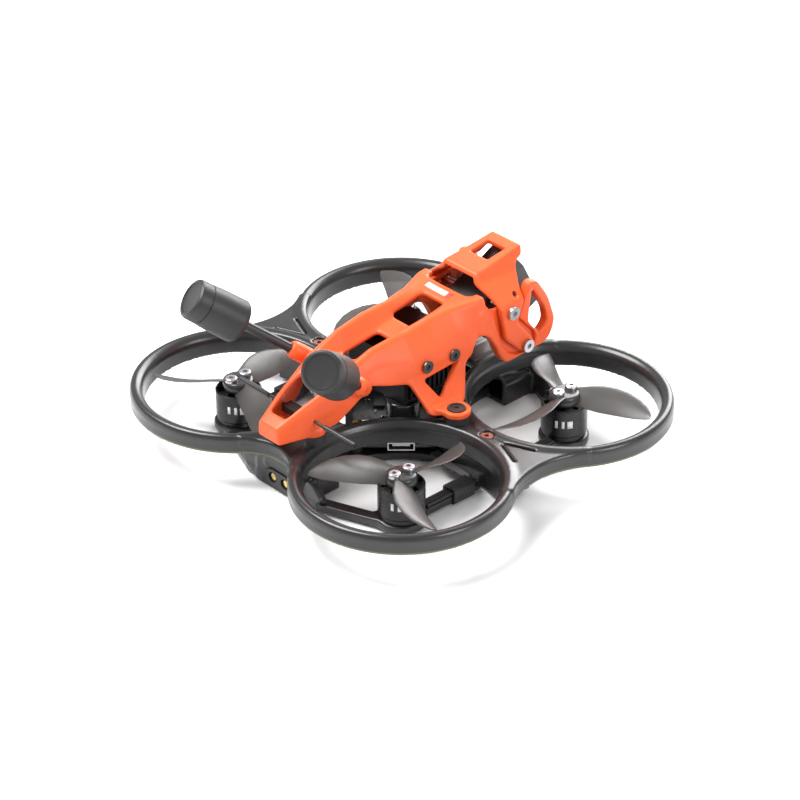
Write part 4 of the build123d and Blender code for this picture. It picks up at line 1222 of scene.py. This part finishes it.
@dataclass
class CameraCarriage:
    """Orange bracket with its visor, which carries the camera."""

    small_hole: Point2 = (30.6, 37.9)
    voxel: float = 0.36

    profile: Outline = Outline(
        (
            (30.4, 21.4), (32.2, 19.8), (35.8, 19.8), (36.6, 22.4), (30.3, 30.0), (33.3, 38.4), (37.4, 43.8),
            (39.6, 44.4), (40.3, 47.3), (29.6, 45.6), (22.2, 44.7), (21.2, 41.6), (23.1, 38.2), (25.7, 26.0),
        ),
        1.0,
    )
    section: Outline = Outline(
        mirrored(((14.9, 10.0), (14.9, 36.6), (7.4, 42.6), (5.9, 46.0), (5.2, 49.0))), 0.9
    )
    hollow: Outline = Outline(
        mirrored(((13.3, 5.0), (13.3, 36.5), (6.1, 41.9), (4.3, 45.6), (4.3, 50.0))), 0.8
    )
    space: Outline = Outline(
        ((10.0, 5.0), (10.0, 42.0), (21.0, 43.2), (29.6, 44.1), (41.0, 45.9), (50.0, 46.2), (50.0, 5.0)), 0.4
    )

    def solid(self, x: Array, y: Array, z: Array) -> Array:
        """The bracket.

        Args:
            x: Distance across the drone.
            y: Distance along the drone.
            z: Height.

        Returns:
            Signed distance.
        """
        ax = np.abs(x)
        shape = meet(self.profile.distance(y, z), self.section.distance(x, z), 0.7)
        shape = cut(shape, meet(self.hollow.distance(x, z), self.space.distance(y, z), 0.3), 0.4)
        pocket = meet(ax - 3.4, slab(y, 29.3, 36.2), 0.6)
        shape = cut(shape, np.maximum(pocket, 38.0 - z), 0.35)
        for (cy, cz), radius in ((Plan.PIVOT, 1.05), (Plan.UPPER_SCREW, 1.05), (self.small_hole, 0.75)):
            shape = cut(shape, np.maximum(np.hypot(y - cy, z - cz) - radius, 9.0 - ax), 0.12)
        return shape

    def build(self) -> None:
        """Make the bracket."""
        skin = Skin((-15.2, 18.4, 18.2), (15.2, 44.0, 48.0), self.voxel)
        bracket = skin_object("camera_bracket_shell", skin, self.solid)
        dress(bracket, CANOPY_ORANGE, "camera_carriage", "canopy_plastic", "camera_bracket")


# ---------------------------------------------------------------- propellers


@dataclass
class Propeller:
    """Three-blade two-screw propeller of one motor."""

    corner: Corner
    hub_r: float = 4.3
    hub_z: tuple[float, float] = (13.0, 15.9)
    sections: tuple[tuple[float, float, float, float, float], ...] = (
        # radius, chord, pitch in degrees, mid height, sweep towards the leading edge
        (2.6, 5.6, 33.0, 14.45, 0.2),
        (4.6, 6.5, 33.0, 14.50, 0.3),
        (7.0, 7.5, 31.0, 14.50, 0.6),
        (10.0, 8.6, 29.0, 14.30, 0.9),
        (13.5, 8.9, 27.0, 14.10, 0.9),
        (17.0, 8.4, 25.0, 13.85, 0.4),
        (20.5, 6.9, 22.5, 13.60, -0.7),
        (23.0, 4.6, 20.0, 13.40, -1.9),
        (24.2, 2.6, 18.5, 13.25, -2.8),
        (24.6, 1.2, 18.0, 13.20, -3.4),
    )
    around: int = 20
    thickness: float = 0.8
    camber: float = 0.055
    mark_widths: tuple[float, ...] = (0.8, 0.8, 1.5)
    mark_height: float = 2.2
    mark_z: float = 8.9
    mark_r: float = 6.43
    mark_heading: float = -48.0
    mark_pitch: float = 0.30
    mark_thickness: float = 0.03
    mark_steps: int = 5

    def blade(self, maker: MeshMaker, heading: float) -> None:
        """Add one blade.

        Args:
            maker: Mesh under construction.
            heading: Direction of the blade in degrees.
        """
        turn = math.radians(heading)
        rings = []
        for radius, chord, pitch, height, sweep in self.sections:
            tilt = math.radians(pitch)
            thick = self.thickness * (1.25 - radius / 34.0)
            ring = []
            for i in range(self.around):
                angle = math.tau * i / self.around
                along = 0.5 * chord * math.cos(angle)
                camber = self.camber * chord * (1.0 - math.cos(angle) ** 2)
                up = camber + 0.5 * thick * math.sin(angle) * (0.35 + 0.65 * (1.0 + math.cos(angle)) / 2.0)
                y = self.corner.spin * (along * math.cos(tilt) - up * math.sin(tilt) + sweep)
                z = height + along * math.sin(tilt) + up * math.cos(tilt)
                px = radius * math.cos(turn) - y * math.sin(turn)
                py = radius * math.sin(turn) + y * math.cos(turn)
                ring.append((self.corner.x + px, self.corner.y + py, z))
            if self.corner.spin < 0:
                ring.reverse()
            rings.append(ring)
        maker.rings(rings)

    def build(self) -> None:
        """Make the blades and the hub."""
        maker = MeshMaker()
        for index in range(3):
            self.blade(maker, self.corner.heading + 120.0 * index)
        blades = maker.build("blades_" + self.corner.name, 60.0)
        node = "propeller_" + self.corner.name
        dress(blades, PROP_SMOKE, self.corner.body, "propeller_plastic", node)
        hub = MeshMaker()
        place = Matrix.Translation((self.corner.x, self.corner.y, 0.0))
        low, high = self.hub_z
        outline = [
            (0.8, low), (self.hub_r - 0.3, low), (self.hub_r, low + 0.25), (self.hub_r, high - 0.7),
            (self.hub_r - 0.2, high - 0.3), (self.hub_r - 0.65, high - 0.02), (3.4, high), (0.8, high),
        ]
        hub.turned(place, outline)
        made = hub.build("hub_" + self.corner.name, 40.0)
        dress(made, HUB_BLACK, self.corner.body, "propeller_plastic", node)
        self.marks()

    def marks(self) -> None:
        """Plain pale bars painted on the bell's side."""
        maker = MeshMaker()
        base = math.radians(self.mark_heading)
        levels = (self.mark_z - 0.5 * self.mark_height, self.mark_z + 0.5 * self.mark_height)
        for index, width in enumerate(self.mark_widths):
            centre = base + (index - 1) * self.mark_pitch
            rows = []
            for i in range(self.mark_steps):
                angle = centre + (i / (self.mark_steps - 1) - 0.5) * width / self.mark_r
                x = self.corner.x + self.mark_r * math.cos(angle)
                y = self.corner.y + self.mark_r * math.sin(angle)
                rows.append([(x, y, z) for z in levels])
            maker.sheet(rows)
        marks = maker.build("bell_marks_" + self.corner.name)
        thicken(marks, self.mark_thickness)
        dress(marks, MARK_WHITE, self.corner.body, "motor_black")


# ---------------------------------------------------------------- aerials


@dataclass
class Aerials:
    """The two capped pods on their rods."""

    start: float = 20.8
    length: float = 16.0
    radius: tuple[float, float] = (6.1, 5.7)

    def place(self, side: int) -> Matrix:
        """Placement of one pod, with its Z axis along the rod.

        Args:
            side: 1 for the right pod and -1 for the left.

        Returns:
            The placement.
        """
        way = Vector((side * Plan.AERIAL[0], *Plan.AERIAL[1:])).normalized()
        origin = Vector((side * Plan.CLAMP[0], *Plan.CLAMP[1:])) + way * self.start
        return Matrix.Translation(origin) @ way.to_track_quat("Z", "Y").to_matrix().to_4x4()

    def build(self) -> None:
        """Make both pods."""
        r0, r1 = self.radius
        length = self.length
        outline = [
            (1.4, 0.0), (r0 - 1.3, 0.0), (r0 - 0.45, 0.25), (r0 - 0.05, 0.85), (r0, 1.5),
            (r0 - 0.12, length * 0.55), (r1 + 0.06, length - 4.3), (r1 + 0.06, length - 4.2),
            (r1 - 0.16, length - 4.1), (r1 - 0.16, length - 3.8), (r1 + 0.05, length - 3.7),
            (r1 + 0.05, length - 3.6), (r1, length - 1.0), (r1 - 0.2, length - 0.4),
            (r1 - 0.75, length - 0.02), (r1 - 1.0, length), (r1 - 1.2, length), (r1 - 1.35, length - 0.22),
            (r1 - 1.6, length - 0.25), (0.5, length - 0.25),
        ]
        for side, name in ((-1, "left"), (1, "right")):
            maker = MeshMaker()
            maker.turned(self.place(side), outline, 72)
            dress(maker.build("pod_" + name, 30.0), POD_BLACK, "airframe", "aerial_shell", "aerial_pods")


# ---------------------------------------------------------------- electronics


@dataclass
class BoardParts:
    """Small components that stand on the flight controller."""

    top: float = 6.2
    seed: int = 7
    passives: int = 46
    chips: tuple[tuple[float, float, float, float], ...] = (
        # middle across and along the board, half width, half length
        (10.5, 0.0, 1.6, 1.6),
        (9.0, 6.5, 1.2, 2.0),
        (-9.5, 9.0, 2.0, 1.2),
        (2.0, -12.0, 2.2, 1.3),
    )
    plugs: tuple[tuple[Point2, Point3], ...] = (
        # middle on the board, half sizes
        ((8.6, -9.4), (2.3, 1.4, 1.2)),
        ((-11.0, -2.0), (1.2, 2.6, 1.0)),
    )
    cans: tuple[tuple[float, ...], ...] = (
        # middle across and along the board, radius, edge height, cap radius, height
        (11.6, -6.2, 1.25, 1.1, 1.0, 1.4),
        (5.4, -12.4, 1.1, 0.9, 0.8, 1.2),
    )
    pin: Point3 = (0.28, 0.11, 0.12)
    passive: Point3 = (0.42, 0.26, 0.28)
    joint: Point3 = (0.16, 0.27, 0.2)
    scatter: float = 13.5
    corner_limit: float = 22.0
    middle_limit: float = 4.2
    turn: float = -math.degrees(math.atan2(Plan.MOTOR_Y, Plan.MOTOR_X))

    def spot(self, x: float, y: float, z: float, spin: float = 0.0) -> Matrix:
        """Placement on the board, which is turned in the drone's plan."""
        board = Matrix.Rotation(math.radians(self.turn), 4, "Z")
        return board @ Matrix.Translation((x, y, z)) @ Matrix.Rotation(math.radians(spin), 4, "Z")

    def build(self) -> None:
        """Make chips, passives, plugs and their solder."""
        rng = np.random.default_rng(self.seed)
        chips, solder, brown, pale, gold = (MeshMaker() for _ in range(5))
        for x, y, hx, hy in self.chips:
            chips.brick(self.spot(x, y, self.top + 0.45), (hx, hy, 0.45), 0.12)
            for side in (-1, 1):
                for index in range(5):
                    along = (index - 2) * hy * 0.38
                    pin = self.spot(x + side * (hx + 0.2), y + along, self.top + self.pin[2])
                    solder.brick(pin, self.pin, 0.04)
        for _ in range(self.passives):
            x, y = rng.uniform(-self.scatter, self.scatter, 2)
            if abs(x) + abs(y) > self.corner_limit or max(abs(x), abs(y)) < self.middle_limit:
                continue
            spin = 90.0 * float(rng.integers(0, 2))
            target = brown if rng.random() < 0.6 else chips
            target.brick(self.spot(x, y, self.top + self.passive[2], spin), self.passive, 0.06)
            for side in (-1, 1):
                off = Matrix.Translation((side * 0.5, 0.0, 0.0))
                solder.brick(self.spot(x, y, self.top + self.joint[2], spin) @ off, self.joint, 0.05)
        for (x, y), half in self.plugs:
            pale.brick(self.spot(x, y, self.top + half[2]), half, 0.2)
        for x, y, radius, edge, cap, height in self.cans:
            can = [(0.3, 0.0), (radius, 0.0), (radius, edge), (cap, height), (0.3, height)]
            gold.turned(self.spot(x, y, self.top), can, 24)
        for maker, name, finish in (
            (chips, "board_chips", CHIP),
            (solder, "board_solder", SOLDER),
            (brown, "board_passives", CERAMIC),
            (pale, "board_plugs", PALE_PLASTIC),
            (gold, "board_inductors", GOLD),
        ):
            dress(maker.build(name, 30.0), finish, "airframe", "board")


class CadDresser:
    """Puts finishes and edge rounding on the CAD nodes that stay in view."""

    def look(self, node: str) -> tuple[Finish, float] | None:
        """Look of a node, by its name or by the start of its name.

        Args:
            node: Name of the CAD node.

        Returns:
            Finish and edge rounding, or None for a node that is not dressed here.
        """
        for start, look in NODE_LOOKS.items():
            if node == start or (start.endswith("_") and node.startswith(start)):
                return look
        return None

    def build(self) -> None:
        """Dress every node that has a look."""
        for node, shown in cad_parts.items():
            look = self.look(node)
            if look is None:
                continue
            finish, width = look
            material = finish.material()
            if not shown.material_slots:
                shown.data.materials.append(material)
            for entry in shown.material_slots:
                entry.material = material
            if width > 0.0:
                bevel = shown.modifiers.new("edges", "BEVEL")
                bevel.width = width * MM
                bevel.segments = 2
                bevel.limit_method = "ANGLE"
                bevel.angle_limit = math.radians(40.0)
            LOG.info("%s dressed in %s", node, finish.name)


# ---------------------------------------------------------------- studio


@dataclass
class Studio:
    """Pale floor, soft lights and the camera."""

    target: Point3 = (-1.33, 0.88, 10.0)
    azimuth: float = 47.36
    elevation: float = 31.24
    distance: float = 857.0
    roll: float = -0.12
    lens: float = 139.7
    sensor: float = 36.0
    room_light: float = 0.64
    floor_reach: float = 1600.0
    floor_z: float = -0.02
    aim: Point3 = (0.0, 0.0, 0.01)
    lamps: tuple[tuple[str, Point3, float, float], ...] = (
        # name, place in metres, size in metres, power in watts
        ("key", (-0.35, -0.25, 0.75), 0.50, 11.0),
        ("back", (-0.30, 0.75, 0.45), 0.60, 9.0),
        ("side", (0.75, 0.10, 0.40), 0.40, 3.0),
    )

    def camera(self) -> None:
        """Place the camera."""
        data = bpy.data.cameras.new("studio_camera")
        data.lens = self.lens
        data.sensor_width = self.sensor
        data.clip_start = 0.01
        data.clip_end = 20.0
        made = bpy.data.objects.new("studio_camera", data)
        bpy.context.scene.collection.objects.link(made)
        a, e = math.radians(self.azimuth), math.radians(self.elevation)
        back = Vector((math.sin(a) * math.cos(e), -math.cos(a) * math.cos(e), math.sin(e)))
        made.location = (Vector(self.target) + back * self.distance) * MM
        aim = (-back).to_track_quat("-Z", "Y").to_matrix().to_4x4()
        turn = aim @ Matrix.Rotation(math.radians(self.roll), 4, "Z")
        made.rotation_euler = turn.to_euler()
        bpy.context.scene.camera = made

    def floor(self) -> None:
        """Wide pale floor."""
        maker = MeshMaker()
        signs = ((-1, -1), (1, -1), (1, 1), (-1, 1))
        corners = [(a * self.floor_reach, b * self.floor_reach, self.floor_z) for a, b in signs]
        maker.add(corners, [(0, 1, 2, 3)])
        made = maker.build("floor")
        paint = Finish(
            "floor_pale", (0.93, 0.93, 0.93), 0.9, Surface.SHEET, variation=0.0, specular=0.0, depth=0.0
        )
        made.data.materials.append(paint.material())

    def lights(self) -> None:
        """Bright room with three large soft lamps."""
        world = bpy.data.worlds.new("studio_room")
        world.use_nodes = True
        room = world.node_tree.nodes["Background"].inputs
        room["Color"].default_value = (1.0, 1.0, 1.0, 1.0)
        room["Strength"].default_value = self.room_light
        bpy.context.scene.world = world
        for name, spot, size, power in self.lamps:
            data = bpy.data.lights.new("lamp_" + name, "AREA")
            data.shape = "DISK"
            data.size = size
            data.energy = power
            lamp = bpy.data.objects.new("lamp_" + name, data)
            lamp.location = spot
            aim = Vector(self.aim) - Vector(spot)
            lamp.rotation_euler = aim.to_track_quat("-Z", "Y").to_euler()
            bpy.context.scene.collection.objects.link(lamp)

    def build(self) -> None:
        """Set up the room."""
        self.camera()
        self.floor()
        self.lights()
        bpy.context.scene.view_settings.view_transform = "Standard"


def main() -> None:
    """Build every sub-assembly in order."""
    logging.basicConfig(level=logging.INFO, format="%(name)s: %(message)s")
    Studio().build()
    Airframe().build()
    Canopy().build()
    CameraCarriage().build()
    for corner in Plan.CORNERS:
        Propeller(corner).build()
    Aerials().build()
    BoardParts().build()
    CadDresser().build()


if __name__ == "__main__":
    main()
